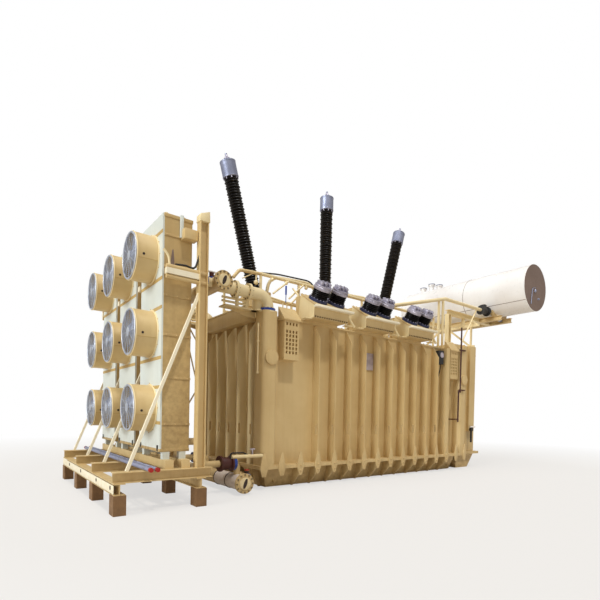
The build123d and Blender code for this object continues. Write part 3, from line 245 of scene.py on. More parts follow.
def glaze(name, colour, sheen):
    """Dark glazed porcelain: glossy, a little cloudy, with dust in the glaze."""
    material, tree, shader, coordinates = material_base(name)
    clouds = noise(tree, coordinates, 5.0, 5.0)
    specks = noise(tree, coordinates, 70.0, 3.0)
    body = mixed(tree, remap(tree, clouds, 0.4, 0.7, 0.0, 0.8), colour, sheen)
    tree.links.new(body, shader.inputs["Base Color"])
    tree.links.new(remap(tree, specks, 0.35, 0.7, 0.3, 0.5), shader.inputs["Roughness"])
    shader.inputs["Coat Weight"].default_value = 0.1
    shader.inputs["Specular IOR Level"].default_value = 0.25
    shader.inputs["Coat Roughness"].default_value = 0.25
    bumped(tree, shader, [(clouds, 0.003, 0.2), (specks, 0.0004, 0.3)])
    return material


def rubber(name, colour):
    """Dull black sheathing and moulded plastic."""
    material, tree, shader, coordinates = material_base(name)
    specks = noise(tree, coordinates, 45.0, 5.0)
    body = mixed(tree, remap(tree, specks, 0.4, 0.7, 0.0, 0.5), colour, (70, 68, 66))
    tree.links.new(body, shader.inputs["Base Color"])
    tree.links.new(remap(tree, specks, 0.3, 0.7, 0.42, 0.66), shader.inputs["Roughness"])
    bumped(tree, shader, [(specks, 0.0006, 0.5)])
    return material


cream = paint("cream_paint", (217, 191, 138), (196, 166, 112), (128, 100, 62))
# Lighter copy of the cream paint: painted highlight standing for light on thin, high and left-facing parts;
# on the tank's end fins it is painted light over their shade.
cream_painted_highlight = paint("cream_panel_edge_painted_highlight", (240, 222, 176), (222, 200, 150), (160, 130, 88))
# Paler copy of the cream: painted highlight on the lid folds' lit fronts, the braces' lit left faces and the
# edge beam's lit -X face.
pale_cream_painted_highlight = paint("pale_cream_edge_painted_highlight", (247, 239, 214), (234, 222, 190), (196, 172, 128))
# Darker copy of the cream for the coolers, with its dust layer raised over their whole height: painted shade,
# on top of some dust.
cooler_cream_painted_shade = paint("cooler_cream_painted_shade", (204, 176, 122), (176, 146, 94), (132, 106, 64),
                     dust_and_shade_height=5.2, dust_and_shade_amount=0.75)
# White-blue paint: on the fan panels it is painted light, standing for cool light from -X on the coolers'
# cream faces; legs, side bars and hoses carry it too.
white_paint_and_painted_light = paint("white_panel_paint", (222, 229, 224), (205, 210, 202), (170, 156, 122),
                  roughness=0.36, dust_and_shade_height=1.6, streaks=0.25)
vessel_white = paint("conservator_white", (240, 238, 236), (226, 219, 213), (190, 175, 150),
                     roughness=0.3, streaks=0.2)
# Dark grey: on the conservator's ends it is painted shade, on the marks above the cooler arms painted shadow,
# and on the conservator's seams their dark joint colour.
end_shade_and_seam_grey = paint("conservator_end_shade_and_seam_grey", (128, 108, 98), (108, 90, 80), (96, 80, 66),
                 roughness=0.45)
seam_tan = paint("seam_tan", (200, 170, 108), (176, 144, 84), (136, 106, 66))
fan_blue = paint("fan_blue_grey", (148, 158, 192), (116, 124, 158), (120, 116, 120),
                 roughness=0.34, dust_and_shade_height=0.2)
guard_bright = metal("guard_wire", (206, 212, 222), (150, 156, 172), 0.32, (40.0, 40.0, 40.0))
motor_grey = paint("motor_grey", (116, 122, 146), (92, 96, 116), (90, 86, 86), roughness=0.4)
blue_paint = paint("blue_paint", (38, 74, 168), (26, 50, 120), (70, 70, 92), roughness=0.3)
ring_blue = metal("base_ring_blue", (60, 68, 108), (38, 42, 70), 0.45)
maroon = paint("maroon_paint", (76, 26, 20), (54, 20, 16), (80, 48, 36), roughness=0.46)
tube_blue = paint("tube_blue", (146, 152, 178), (120, 126, 156), (120, 112, 108), roughness=0.36)
red_paint = paint("red_paint", (186, 34, 26), (140, 24, 20), (110, 50, 40), roughness=0.4)
dark_glaze = glaze("dark_glaze", (10, 8, 8), (24, 19, 18))
shield_metal = metal("shield_aluminium", (156, 162, 186), (120, 126, 150), 0.36)
terminal_metal = metal("terminal_metal", (182, 178, 194), (124, 120, 134), 0.38)
bolt_metal = metal("zinc_bolt", (150, 134, 104), (104, 86, 60), 0.42)
# Darker bolt metal for the turret lip bolts: painted shade for the shadow under the lid fold.
lip_bolt_painted_shade = metal("dull_bolt_painted_shade", (110, 86, 60), (80, 60, 42), 0.5)
sleeve_grey = paint("sleeve_grey", (226, 214, 204), (206, 192, 180), (176, 158, 136))
timber = paint("timber_brown", (140, 104, 66), (110, 80, 48), (88, 68, 48), roughness=0.6)
black_rubber = rubber("black_rubber", (28, 28, 30))
# Dark brown-black: on the small discs of the fan shrouds and the edge beam it is painted shade for the inside
# of a hole; on the drain valves and the sleeve bands it is their own dark colour.
hole_shade_and_dark_paint = rubber("dark_opening_and_hole_shade", (46, 26, 20))
plate_metal = metal("plate_metal", (202, 194, 204), (164, 152, 164), 0.38)

NODE_MATERIALS = {
    # Cooler bodies in the darker cream: painted shade.
    cooler_cream_painted_shade: ("cooler_body_1", "cooler_body_2", "cooler_body_3"),
    # Parts in the lighter cream: painted highlight, and on the end fins painted light over their shade.
    cream_painted_highlight: ("bracket_posts", "bracket_trusses", "end_fins", "guard_rails", "relay_pipe",
                  "upper_branches"),
    # Braces in the paler cream: painted highlight on their lit left faces.
    pale_cream_painted_highlight: ("frame_braces",),
    cream: ("base_beams", "bell_flange", "cable_column", "conservator_cradle", "corner_ducts",
            "end_compartment", "end_walls",
            "fan_shrouds", "flange_lugs", "frame_posts", "front_fins", "front_wall",
            "hv_turrets", "louvre_boxes", "lower_branches", "lower_header", "lv_turrets", "rear_fins",
            "rear_wall",
            "tank_cover", "tank_tray", "upper_header"),
    # Fan panels in white-blue: painted light from the -X side.
    white_paint_and_painted_light: ("fan_panels", "cooler_legs"),
    vessel_white: ("conservator_shell",),
    # Conservator ends in dark grey: painted shade.
    end_shade_and_seam_grey: ("conservator_ends",),
    dark_glaze: ("hv_insulators", "lv_insulators"),
    shield_metal: ("hv_shields",),
    terminal_metal: ("lv_terminal_caps",),
    ring_blue: ("lv_base_rings",),
    blue_paint: ("pipe_valves",),
    fan_blue: ("fan_guards",) + tuple(f"fan_rotor_{number}" for number in range(1, 10)),
    motor_grey: ("fan_motors",),
    black_rubber: ("gas_relay", "instrument_box"),
    maroon: ("earthing_bar",),
    timber: ("frame_feet",),
    tube_blue: ("tie_tubes",),
}


def dress_nodes():
    """Every node of the frame gets its finish."""
    for material, names in NODE_MATERIALS.items():
        for name in names:
            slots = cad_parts[name].material_slots
            for place in slots:
                place.material = material


# Modelling

def deselect():
    bpy.ops.object.select_all(action="DESELECT")


def named(name):
    piece = bpy.context.object
    piece.name = name
    return piece


def alone(piece):
    """This piece alone is selected and active."""
    deselect()
    piece.select_set(True)
    bpy.context.view_layer.objects.active = piece


def settle(piece):
    """The piece's place goes into its mesh."""
    alone(piece)
    bpy.ops.object.transform_apply(location=True, rotation=True, scale=True)
    return piece


def bar(name, start, end, radius, sides=16):
    """Round bar between two points."""
    deselect()
    start = Vector(start)
    run = Vector(end) - start
    bpy.ops.mesh.primitive_cylinder_add(vertices=sides, radius=radius, depth=run.length,
                                        location=start + run / 2,
                                        rotation=run.to_track_quat("Z", "Y").to_euler())
    return settle(named(name))


def slab(name, low, high):
    """Rectangular block between two corners."""
    deselect()
    low, high = Vector(low), Vector(high)
    bpy.ops.mesh.primitive_cube_add(size=1, location=(low + high) / 2, scale=high - low)
    return settle(named(name))


def pick(piece, wanted):
    """Edit mode, with the faces selected whose centre and normal are wanted."""
    alone(piece)
    bpy.ops.object.mode_set(mode="EDIT")
    bpy.ops.mesh.select_mode(type="FACE")
    bpy.ops.mesh.select_all(action="DESELECT")
    mesh = bmesh.from_edit_mesh(piece.data)
    for face in mesh.faces:
        face.select_set(bool(wanted(face.calc_center_median(), face.normal)))
    bmesh.update_edit_mesh(piece.data)


def leave_edit():
    bpy.ops.object.mode_set(mode="OBJECT")


def draw_out(move, size=None, centre=None):
    """Extrude what is selected by a move, then resize it about a point."""
    bpy.ops.mesh.extrude_region_move(TRANSFORM_OT_translate={"value": tuple(move)})
    if size is not None:
        bpy.ops.transform.resize(value=size, center_override=tuple(centre))


def facing(axis, sign=1):
    """Choice of the faces that look along one of the three axes."""
    return lambda centre, normal: normal[axis] * sign > 0.9


UP, DOWN, FRONT = facing(2), facing(2, -1), facing(1, -1)


def SIDES(centre, normal):
    """Choice of the faces that look to either side."""
    return abs(normal.y) > 0.9


def drawn(piece, wanted, move, size=None, centre=None):
    """Extrudes the wanted faces of a piece."""
    pick(piece, wanted)
    draw_out(move, size, centre)
    leave_edit()


def resized(piece, wanted, size, centre):
    pick(piece, wanted)
    bpy.ops.transform.resize(value=size, center_override=centre)
    leave_edit()


def inset(piece, wanted, thickness, depth):
    pick(piece, wanted)
    bpy.ops.mesh.inset(thickness=thickness, depth=depth)
    leave_edit()


def tilted(piece, wanted, angle, axis, centre):
    pick(piece, wanted)
    bpy.ops.transform.rotate(value=angle, orient_axis=axis, center_override=centre)
    leave_edit()


def smooth(piece, angle=50):
    """Smooth shading over all edges but the sharp ones."""
    alone(piece)
    bpy.ops.object.shade_smooth_by_angle(angle=radians(angle))
    return piece


def torus(name, centre, radius, thickness, segments, sides, turn=(0, pi / 2, 0)):
    """Ring of round section, across X unless it's turned."""
    deselect()
    bpy.ops.mesh.primitive_torus_add(major_radius=radius, minor_radius=thickness, major_segments=segments,
                                     minor_segments=sides, location=centre, rotation=turn)
    return settle(named(name))


def soften(piece, width=0.004):
    """Worn edges, and smooth shading between them."""
    alone(piece)
    edge = piece.modifiers.new("edge", "BEVEL")
    edge.width = width
    edge.segments = 2
    edge.limit_method = "ANGLE"
    edge.angle_limit = radians(35)
    bpy.ops.object.modifier_apply(modifier="edge")
    return smooth(piece, 35)


def standing(point, axis=(0, 0, 1), turn=0.0):
    """Place that stands a piece's own Z along an axis at a point, turned about that axis."""
    direction = Vector(axis).to_track_quat("Z", "Y").to_matrix().to_4x4()
    return Matrix.Translation(Vector(point)) @ direction @ Matrix.Rotation(turn, 4, "Z")


def turned(name, outline, place=None, sides=32):
    """Round piece: a cone whose top face is drawn out through the outline's (radius, height) points."""
    deselect()
    (r0, z0), (r1, z1) = outline[:2]
    bpy.ops.mesh.primitive_cone_add(vertices=sides, radius1=r0, radius2=r1, depth=z1 - z0,
                                    location=(0, 0, (z0 + z1) / 2))
    piece = settle(named(name))
    pick(piece, lambda centre, normal: normal.z > 0.9 and centre.z > z1 - 1e-6)
    for (ra, za), (rb, zb) in zip(outline[1:], outline[2:]):
        draw_out((0, 0, zb - za), (rb / ra, rb / ra, 1), (0, 0, zb))
    leave_edit()
    smooth(piece, 35)
    if place is not None:
        piece.matrix_world = place
        settle(piece)
    return piece


def joined(name, pieces):
    """Several finished pieces as one."""
    deselect()
    for piece in pieces:
        piece.select_set(True)
    bpy.context.view_layer.objects.active = pieces[0]
    bpy.ops.object.join()
    return settle(named(name))


def copies(master, name, places):
    """Copies of one modelled piece, each with its own mesh and place, joined into one."""
    twins = []
    for place in places:
        twin = master.copy()
        twin.data = master.data.copy()
        bpy.context.collection.objects.link(twin)
        twin.matrix_world = place
        twins.append(twin)
    bpy.data.objects.remove(master)
    return joined(name, twins)


def finish(piece, material):
    """A piece gets its finish and the body that it moves with."""
    piece.data.materials.clear()
    piece.data.materials.append(material)
    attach(piece, TANK)
    return piece


def group(name, pieces, material):
    """Several pieces as one, with its finish."""
    return finish(joined(name, pieces), material)


def pipe(name, points, bend, radius, sides=12):
    """Pipe with rounded corners: its end face is extruded from point to point and turned at each."""
    points = bend_points(points, bend)
    heading = (points[1] - points[0]).normalized()
    piece = bar(name, *points[:2], radius, sides)
    end = points[1]
    pick(piece, lambda centre, normal: (centre - end).length < radius / 4 and normal.dot(heading) > 0.9)
    mesh = bmesh.from_edit_mesh(piece.data)
    for corner, target in zip(points[1:], points[2:]):
        following = (target - corner).normalized()
        lean = (heading + following).normalized()
        rim = [vertex for vertex in mesh.verts if vertex.select]
        for vertex in rim:
            vertex.co += heading * ((corner - vertex.co).dot(lean) / heading.dot(lean))
        bmesh.update_edit_mesh(piece.data)
        bpy.ops.mesh.extrude_region_move(TRANSFORM_OT_translate={"value": tuple(target - corner)})
        mesh = bmesh.from_edit_mesh(piece.data)
        rim = [vertex for vertex in mesh.verts if vertex.select]
        for vertex in rim:
            vertex.co += following * ((target - vertex.co).dot(following))
        bmesh.update_edit_mesh(piece.data)
        heading = following
    leave_edit()
    return smooth(piece)


def bend_points(points, radius, steps=5):
    """The corners of a route, each rounded by a few points on an arc."""
    points = [Vector(point) for point in points]
    route = [points[0]]
    for before, corner, after in zip(points, points[1:], points[2:]):
        arriving = (corner - before).normalized()
        leaving = (after - corner).normalized()
        turn = arriving.angle(leaving)
        reach = min(radius * abs(sin(turn / 2) / max(cos(turn / 2), 0.05)), (corner - before).length / 2.1,
                    (after - corner).length / 2.1)
        first, last = corner - arriving * reach, corner + leaving * reach
        for step in range(steps + 1):
            share = step / steps
            route.append(first * (1 - share) ** 2 + corner * 2 * share * (1 - share) + last * share ** 2)
    route.append(points[-1])
    return route


def bolt(size=0.03):
    """Hexagon head on a washer, with the end of its thread."""
    deselect()
    bpy.ops.mesh.primitive_cylinder_add(vertices=6, radius=size * 0.56, depth=size * 0.5,
                                        location=(0, 0, size * 0.25))
    piece = settle(named("bolt"))
    pick(piece, UP)
    draw_out((0, 0, size * 0.08), (0.82, 0.82, 1), (0, 0, size * 0.58))
    bpy.ops.mesh.inset(thickness=size * 0.2)
    draw_out((0, 0, size * 0.22))
    leave_edit()
    resized(piece, DOWN, (1.25, 1.25, 1), (0, 0, 0))
    return piece


def ring_places(centre, axis, radius, count, turn=0.0):
    """Places round a circle, each looking along the axis."""
    base = standing(centre, axis)
    return [base @ Matrix.Rotation(turn + i * 2 * pi / count, 4, "Z") @ Matrix.Translation((radius, 0, 0))
            for i in range(count)]


def upright(x, y, low, high, radius):
    """Ends and radius of an upright bar."""
    return (x, y, low), (x, y, high), radius


def lengthwise(y, z, start, end, radius):
    """Ends and radius of a bar along X."""
    return (start, y, z), (end, y, z), radius


def crosswise(x, z, start, end, radius):
    """Ends and radius of a bar along Y."""
    return (x, start, z), (x, end, z), radius


def rods(name, runs, material, sides=12):
    """Round bars of one group, each given by its start, its end and its radius."""
    bars = [bar(name, start, end, radius, sides) for start, end, radius in runs]
    return finish(smooth(joined(name, bars), 40), material)


def plates(name, blocks, material, width=0.004):
    """Blocks with worn edges of one group, each given by its low and its high corner."""
    return group(name, [soften(slab(name, low, high), width) for low, high in blocks], material)


def ball(name, place, radius):
    """Round knob turned about Z."""
    outline = [(radius * cos(radians(step)), radius * sin(radians(step)))
               for step in (-70, -45, -15, 15, 45, 70)]
    return turned(name, outline, Matrix.Translation(place), 16)


def bolts(name, places, size=0.03, material=cream):
    """A group of like bolts."""
    return finish(copies(bolt(size), name, places), material)


# High-voltage bushings

def shed_outline(count, length, core, rims, taper, shares):
    """Outline of a porcelain body: alternating rims, and each shed's heights as shares of its pitch."""
    pitch = length / count
    start, under, over, end = shares
    outline = [(core, 0.0), (core, start * pitch)]
    for shed in range(count):
        rim, low = rims[shed % len(rims)], shed * pitch
        outline += [(rim, low + under * pitch), (rim - taper, low + over * pitch), (core, low + end * pitch)]
    return outline + [(core, length)]


def hv_axis(place):
    """Foot on the cover and outward direction of one high-voltage bushing."""
    lean = HV_LEAN * place
    return Vector((HV_CENTRE_X + place * HV_PITCH, HV_Y, cover_high.z)), Vector((sin(lean), 0, cos(lean)))


def hv_bushings():
    """Porcelain with close alternating sheds, bolted feet, the shields' rims and the terminals."""
    outline = shed_outline(44, HV_BODY_LENGTH, 0.15, (0.188, 0.176), 0.004, (0.12, 0.28, 0.4, 0.86))
    foot_places, flanges, rims, heads = [], [], [], []
    for number, place in enumerate((-1, 0, 1), start=1):
        foot, out = hv_axis(place)
        seat = foot + out * (HV_TURRET_HEIGHT + HV_FLANGE_THICKNESS)
        sheds = turned(f"hv_sheds_{number}", outline, standing(seat, out), 32)
        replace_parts(finish(sheds, dark_glaze), "hv_insulators")
        flanges.append(turned("clamp", [(0.30, 0.0), (0.30, 0.03), (0.23, 0.045), (0.215, 0.13),
                                        (0.16, 0.15)],
                              standing(seat, out), 40))
        foot_places += ring_places(seat, out, 0.375, 20)
        foot_places += ring_places(seat + out * 0.03, out, 0.25, 12)
        head = seat + out * HV_BODY_LENGTH
        top = head + out * HV_SHIELD_HEIGHT
        for name, seat, steps in (
                ("rim", head, ((-0.004, -0.004), (0.006, 0.004), (0.006, 0.026), (-0.004, 0.036))),
                ("crown", top, ((-0.01, -0.036), (0.005, -0.028), (0.005, -0.012), (-0.02, 0.012)))):
            ring = [(HV_SHIELD_RADIUS + step, height) for step, height in steps]
            rims.append(turned(name, ring, standing(seat, out), 40))
        heads.append(turned("head", [(0.1, 0.0), (0.085, 0.05), (0.075, 0.085), (0.045, 0.1), (0.03, 0.16),
                                     (0.012, 0.19)],
                            standing(top, out), 24))
        for foot_place in ring_places(head - out * 0.05, out, HV_SHIELD_RADIUS - 0.02, 8, pi / 8):
            heads.append(turned("stud", [(0.016, 0.0), (0.016, 0.055)], foot_place, 10))
    group("hv_foot_clamps", flanges, shield_metal)
    group("hv_shield_rims", rims, shield_metal)
    group("hv_terminal_heads", heads, terminal_metal)
    bolts("hv_flange_bolts", foot_places, 0.032, bolt_metal)


# Low-voltage bushings and turrets

def lv_slope():
    """Lid middle in Y and Z, its outward direction and its direction down the slope."""
    slope = atan2(LV_RIDGE[1] - LV_LIP[1], LV_RIDGE[0] - LV_LIP[0])
    middle = ((LV_LIP[0] + LV_RIDGE[0]) / 2, (LV_LIP[1] + LV_RIDGE[1]) / 2)
    return middle, Vector((0, -sin(slope), cos(slope))), Vector((0, -cos(slope), -sin(slope)))


def lv_terminal(name, place):
    """Flat round head with three thick bars, a clamp plate across them and its bolts."""
    deselect()
    bpy.ops.mesh.primitive_cylinder_add(vertices=40, radius=LV_CAP_RADIUS, depth=LV_CAP_HEIGHT,
                                        location=(0, 0, LV_CAP_HEIGHT / 2))
    disc = settle(named("disc"))
    pick(disc, UP)
    bpy.ops.mesh.inset(thickness=0.022, depth=-0.008)
    bpy.ops.mesh.inset(thickness=0.02, depth=0.0)
    leave_edit()
    soften(disc)
    skirt = turned("skirt", [(0.213, -0.07), (0.216, -0.06), (0.216, -0.012), (0.2, 0.004)], sides=40)
    parts = [disc, skirt]
    for offset in (-0.12, 0.0, 0.12):
        block = slab("flag", (offset - 0.03, -0.1025, LV_CAP_HEIGHT - 0.01),
                     (offset + 0.03, 0.1025, LV_CAP_HEIGHT + 0.075))
        inset(block, UP, 0.008, 0.0)
        parts.append(soften(block, 0.006))
        for end in ACROSS:
            stud = bolt(0.026)
            stud.matrix_world = standing((offset, end * 0.06, LV_CAP_HEIGHT + 0.075))
            parts.append(settle(stud))
    strap = slab("strap", (-0.165, -0.02, LV_CAP_HEIGHT + 0.07), (0.165, 0.02, LV_CAP_HEIGHT + 0.085))
    parts.append(soften(strap))
    piece = joined(name, parts)
    piece.matrix_world = place
    return settle(piece)


def lv_side():
    """Sheds, heads and bolted rings of the low-voltage bushings, and their turrets' lid bolts."""
    (mid_y, mid_z), out, down = lv_slope()
    outline = shed_outline(7, LV_BODY_HEIGHT, 0.178, (0.21,), 0.003, (0.15, 0.3, 0.5, 0.85))
    sheds, heads, ring_bolts, lid_bolts, collars = [], [], [], [], []
    for x in LV_XS:
        for side in ACROSS:
            foot = Vector((x + side * LV_SPACING / 2, mid_y, mid_z)) + out * LV_LID_THICKNESS
            ring_top = foot + out * LV_RING_HEIGHT
            sheds.append(turned("sheds", outline, standing(ring_top, out), 40))
            number = len(heads) + 1
            heads.append(lv_terminal(f"head_{number}", standing(ring_top + out * LV_BODY_HEIGHT, out)))
            collars.append(turned("collar", [(0.236, -0.002), (0.236, 0.012), (0.2, 0.014), (0.19, 0.03),
                                             (0.178, 0.032)],
                                  standing(ring_top, out), 40))
            ring_bolts += ring_places(ring_top + out * 0.012, out, 0.217, 16)
        half_run = (Vector((0, LV_RIDGE[0], LV_RIDGE[1])) - Vector((0, LV_LIP[0], LV_LIP[1]))).length / 2
        lid = Vector((x, mid_y, mid_z)) + out * LV_LID_THICKNESS
        for step in range(11):
            across = (step / 5 - 1) * (LV_HALF_WIDTH + 0.005)
            for end in ACROSS:
                lid_bolts.append(standing(lid + Vector((across, 0, 0)) + down * end * (half_run + 0.005),
                                          out))
        for step in (-0.16, 0.0, 0.16):
            for side in ACROSS:
                lid_bolts.append(standing(lid + Vector((side * (LV_HALF_WIDTH + 0.005), 0, 0)) + down * step,
                                          out))
    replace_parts(group("lv_sheds", sheds, dark_glaze), "lv_insulators")
    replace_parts(group("lv_heads", heads, terminal_metal), "lv_terminal_caps")
    group("lv_collars", collars, ring_blue)
    bolts("lv_ring_bolts", ring_bolts, 0.022, terminal_metal)
    bolts("lv_lid_bolts", lid_bolts, 0.024)
    lv_lips()


def lv_lips():
    """Bolted lip, folded lid edge and left side plate of each turret, and the stays between them. The folded
    edge's paler paint is a painted highlight, the side plate's lighter paint is painted light on the lit
    side, and the lip bolts' darker metal is painted shade.
    """
    lips, places, stays, folds, sides = [], [], [], [], []
    lip_y, lip_z = LV_FOOT
    slope = atan2(LV_RIDGE[1] - LV_LIP[1], LV_RIDGE[0] - LV_LIP[0])
    for x in LV_XS:
        lip = slab("lip", (x - LV_HALF_WIDTH, lip_y - 0.022, lip_z - 0.012),
                   (x + LV_HALF_WIDTH, lip_y + 0.02, lip_z + 0.05))
        drawn(lip, UP, (0, 0.004, 0.012), (1, 0.5, 1), (x, lip_y + 0.02, lip_z + 0.062))
        lips.append(soften(lip))
        # Folded lid edge in the paler cream: its lit front is a painted highlight; it also casts real shade
        # on the turret's front face.
        fold = slab("fold", (x - LV_HALF_WIDTH - 0.03, LV_LIP[0] - 0.1, LV_LIP[1] - 0.05),
                    (x + LV_HALF_WIDTH + 0.07, LV_LIP[0] + 0.02, LV_LIP[1] + 0.012))
        resized(fold, FRONT, (1, 1, 0.9), (x, LV_LIP[0] - 0.1, LV_LIP[1] - 0.05))
        folds.append(soften(fold))
        left = x - LV_HALF_WIDTH
        # Left side plate in the lighter cream: painted light on the turret's lit -X face.
        panel = slab("panel", (left - 0.008, LV_LIP[0] + 0.03, lip_z - 0.01),
                     (left, LV_BACK_Y - 0.1, LV_LIP[1]))
        tilted(panel, UP, -slope, "X", (left, LV_LIP[0] + 0.03, LV_LIP[1]))
        sides.append(panel)
        for step in range(15):
            across = (step / 7 - 1) * (LV_HALF_WIDTH - 0.05)
            places.append(standing((x + across, lip_y - 0.022, lip_z + 0.02), (0, -1, 0)))
        for side in ACROSS:
            edge = x + side * LV_HALF_WIDTH
            tip = edge + side * 0.2
            foot = slab("foot", (min(edge, tip), -1.76, cover_high.z),
                        (max(edge, tip), -1.6, cover_high.z + 0.02))
            stays.append(soften(foot))
        stays.append(bar("stay", (edge + 0.28, -1.74, cover_high.z), (edge + 0.04, -1.74, 4.19), 0.034, 10))
        stays.append(soften(slab("plate", (edge + 0.14, -1.52, 4.2), (edge + 0.4, -1.5, 4.31)), 0.003))
    group("lv_turret_lips", lips, cream)
    group("lv_lid_folds", folds, pale_cream_painted_highlight)
    group("lv_turret_painted_light_sides", sides, cream_painted_highlight)
    group("lv_turret_stays", stays, cream_painted_highlight)
    # Lip bolts in the darker bolt metal: painted shade for the shadow under the lid fold.
    bolts("lv_lip_bolts", places, 0.03, lip_bolt_painted_shade)


# Fans

def fan_guard(number, centre):
    """Wire guard: rings and spokes over the mouth, a rolled rim and a round boss plate."""
    def ahead(gap):
        return Vector((guard_x - gap, centre.y, centre.z))
    step = (GUARD_OUTER_RING - GUARD_INNER_RING) / (GUARD_RINGS - 1)
    rings = [torus("ring", ahead(0.004), GUARD_INNER_RING + ring * step, 0.0036, 48, 5)
             for ring in range(GUARD_RINGS)]
    places = [Matrix.Translation(ahead(0.009)) @ Matrix.Rotation(spoke * 2 * pi / GUARD_SPOKES, 4, "X")
              for spoke in range(GUARD_SPOKES)]
    spokes = copies(bar("spoke", (0, 0.07, 0), (0, 0.4, 0), 0.0048, 6), "spokes", places)
    boss = turned("boss", [(0.085, 0.0), (0.085, 0.008), (0.06, 0.016), (0.03, 0.02)],
                  standing(ahead(0.008), (-1, 0, 0)), 32)
    rim = torus("rim", ahead(0), 0.408, 0.016, 64, 10)
    guard = smooth(joined(f"fan_guard_{number}", [rim, *rings, spokes, boss]))
    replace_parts(finish(guard, guard_bright), "fan_guards")


def fan_trim():
    """Rolled lips, seams and flange bolts on the fan shrouds, and in each a dark disc, painted shade standing
    for a small hole.
    """
    lips, holes, seams = [], [], []
    back = cooler_front_x
    for centre in fan_centres:
        for x, reach in ((back - 0.004, 0.028), (guard_x + 0.018, 0.012)):
            lips.append(torus("lip", (x, centre.y, centre.z), FAN_RADIUS + reach / 4, reach / 2 + 0.003, 64,
                              8))
        out = Vector((0, -cos(HOLE_ANGLE), -sin(HOLE_ANGLE)))
        # Dark disc: painted shade standing for the small hole.
        hole = turned("hole", [(0.022, 0.0), (0.022, 0.004), (0.014, 0.0045)],
                      standing(Vector((back - 0.27, centre.y, centre.z)) + out * FAN_RADIUS, out), 16)
        holes.append(hole)
        for angle in (radians(196), radians(-16)):
            y, z = centre.y + FAN_RADIUS * cos(angle), centre.z + FAN_RADIUS * sin(angle)
            seams.append(bar("seam", (back - 0.36, y, z), (back - 0.02, y, z), 0.005, 6))
    finish(smooth(joined("fan_shroud_lips", lips)), cream_painted_highlight)
    group("fan_shroud_painted_holes", holes, hole_shade_and_dark_paint)
    group("fan_shroud_seams", seams, seam_tan)
    places = []
    for centre in fan_centres:
        places += ring_places((back, centre.y, centre.z), (-1, 0, 0), FAN_RADIUS + 0.035, 12)
    bolts("fan_flange_bolts", places, 0.018)


# Coolers

def cooler_trim():
    """Seam strips, corner angles, top plates, side bands and lifting eyes of the coolers, and screws on the
    bands.
    """
    strips, angles, eyes, screws = [], [], [], []
    front = cooler_front_x
    for low, high in cooler_boxes:
        def around(name, near, far, margin, bottom, top):
            return slab(name, (front + near, low.y - margin, bottom), (far, high.y + margin, top))
        strips += [around("strip", -0.004, front + 0.002, 0.004, z - 0.03, z + 0.03) for z in COOLER_SEAM_ZS]
        for z in COOLER_BAND_ZS:
            band = around("band", 0.03, high.x + 0.004, 0.012, z - 0.022, z + 0.022)
            inset(band, SIDES, 0.006, 0.003)
            angles.append(band)
            for y in (low.y - 0.015, high.y + 0.015):
                side = 1 if y > 0.5 * (low.y + high.y) else -1
                screws += [standing((x, y, z), (0, side, 0))
                           for x in (front + 0.08, front + 0.27, high.x - 0.06)]
        cap = around("cap", 0.02, high.x + 0.012, 0.012, high.z - 0.05, high.z + 0.012)
        inset(cap, UP, 0.03, -0.008)
        angles.append(soften(cap, 0.005))
        angles.append(soften(around("sole", -0.006, high.x + 0.006, 0.006, low.z - 0.004, low.z + 0.05),
                             0.005))
        for x in (front + 0.12, high.x - 0.1):
            for side in ACROSS:
                y = (low.y + high.y) / 2 + side * 0.42
                eye = slab("eye", (x - 0.05, y - 0.012, high.z + 0.004), (x + 0.05, y + 0.012, high.z + 0.1))
                resized(eye, UP, (0.5, 1, 1), (x, y, high.z + 0.1))
                eyes.append(soften(eye, 0.008))
    group("cooler_face_seams", strips, seam_tan)
    # Side bands in the coolers' darker cream, the same painted shade as the bodies.
    group("cooler_side_bands", angles, cooler_cream_painted_shade)
    group("cooler_lifting_eyes", eyes, cream_painted_highlight)
    bolts("cooler_band_screws", screws, 0.016)


# Tank

def tank_trim():
    """Cover bolts, lug bolts, weld beads beside the fins, and the flange's bead."""
    cover_places = []
    inset = 0.028
    top = cover_high.z
    count_x, count_y = 46, 16
    for step in range(count_x + 1):
        x = cover_low.x + 0.06 + step * (cover_high.x - cover_low.x - 0.12) / count_x
        for y in (cover_low.y + inset, cover_high.y - inset):
            if abs(x) < 3.45 or y > 0:
                cover_places.append(standing((x, y, top)))
    for step in range(count_y + 1):
        y = cover_low.y + 0.12 + step * (cover_high.y - cover_low.y - 0.24) / count_y
        for x in (cover_low.x + inset, cover_high.x - inset):
            cover_places.append(standing((x, y, top)))
    clear = [place for place in cover_places
             if not any(abs(place.translation.x - x) < LV_HALF_WIDTH + 0.04 for x in LV_XS)
             or place.translation.y > 0]
    bolts("cover_bolts", clear, 0.034)
    lug_places = []
    for x in lug_xs:
        for side in ACROSS:
            face = side * (flange_high.y + 0.02)
            for z in (flange_low.z + 0.02, flange_low.z - 0.11):
                lug_places.append(standing((x, face, z), (0, side, 0)))
    bolts("lug_bolts", lug_places, 0.034)
    beads = []
    for side in ACROSS:
        wall = side * wall_high.y
        for x in fin_xs:
            for edge in ACROSS:
                side_x = x + edge * FIN_THICKNESS / 2
                beads.append(bar("bead", (side_x, wall, flange_high.z), (side_x, wall, FIN_TOP), 0.007, 6))
        beads += [bar("bead", (wall_low.x, wall, z), (wall_high.x, wall, z), 0.009, 6)
                  for z in (flange_high.z, cover_low.z)]
    group("weld_beads", beads, cream)


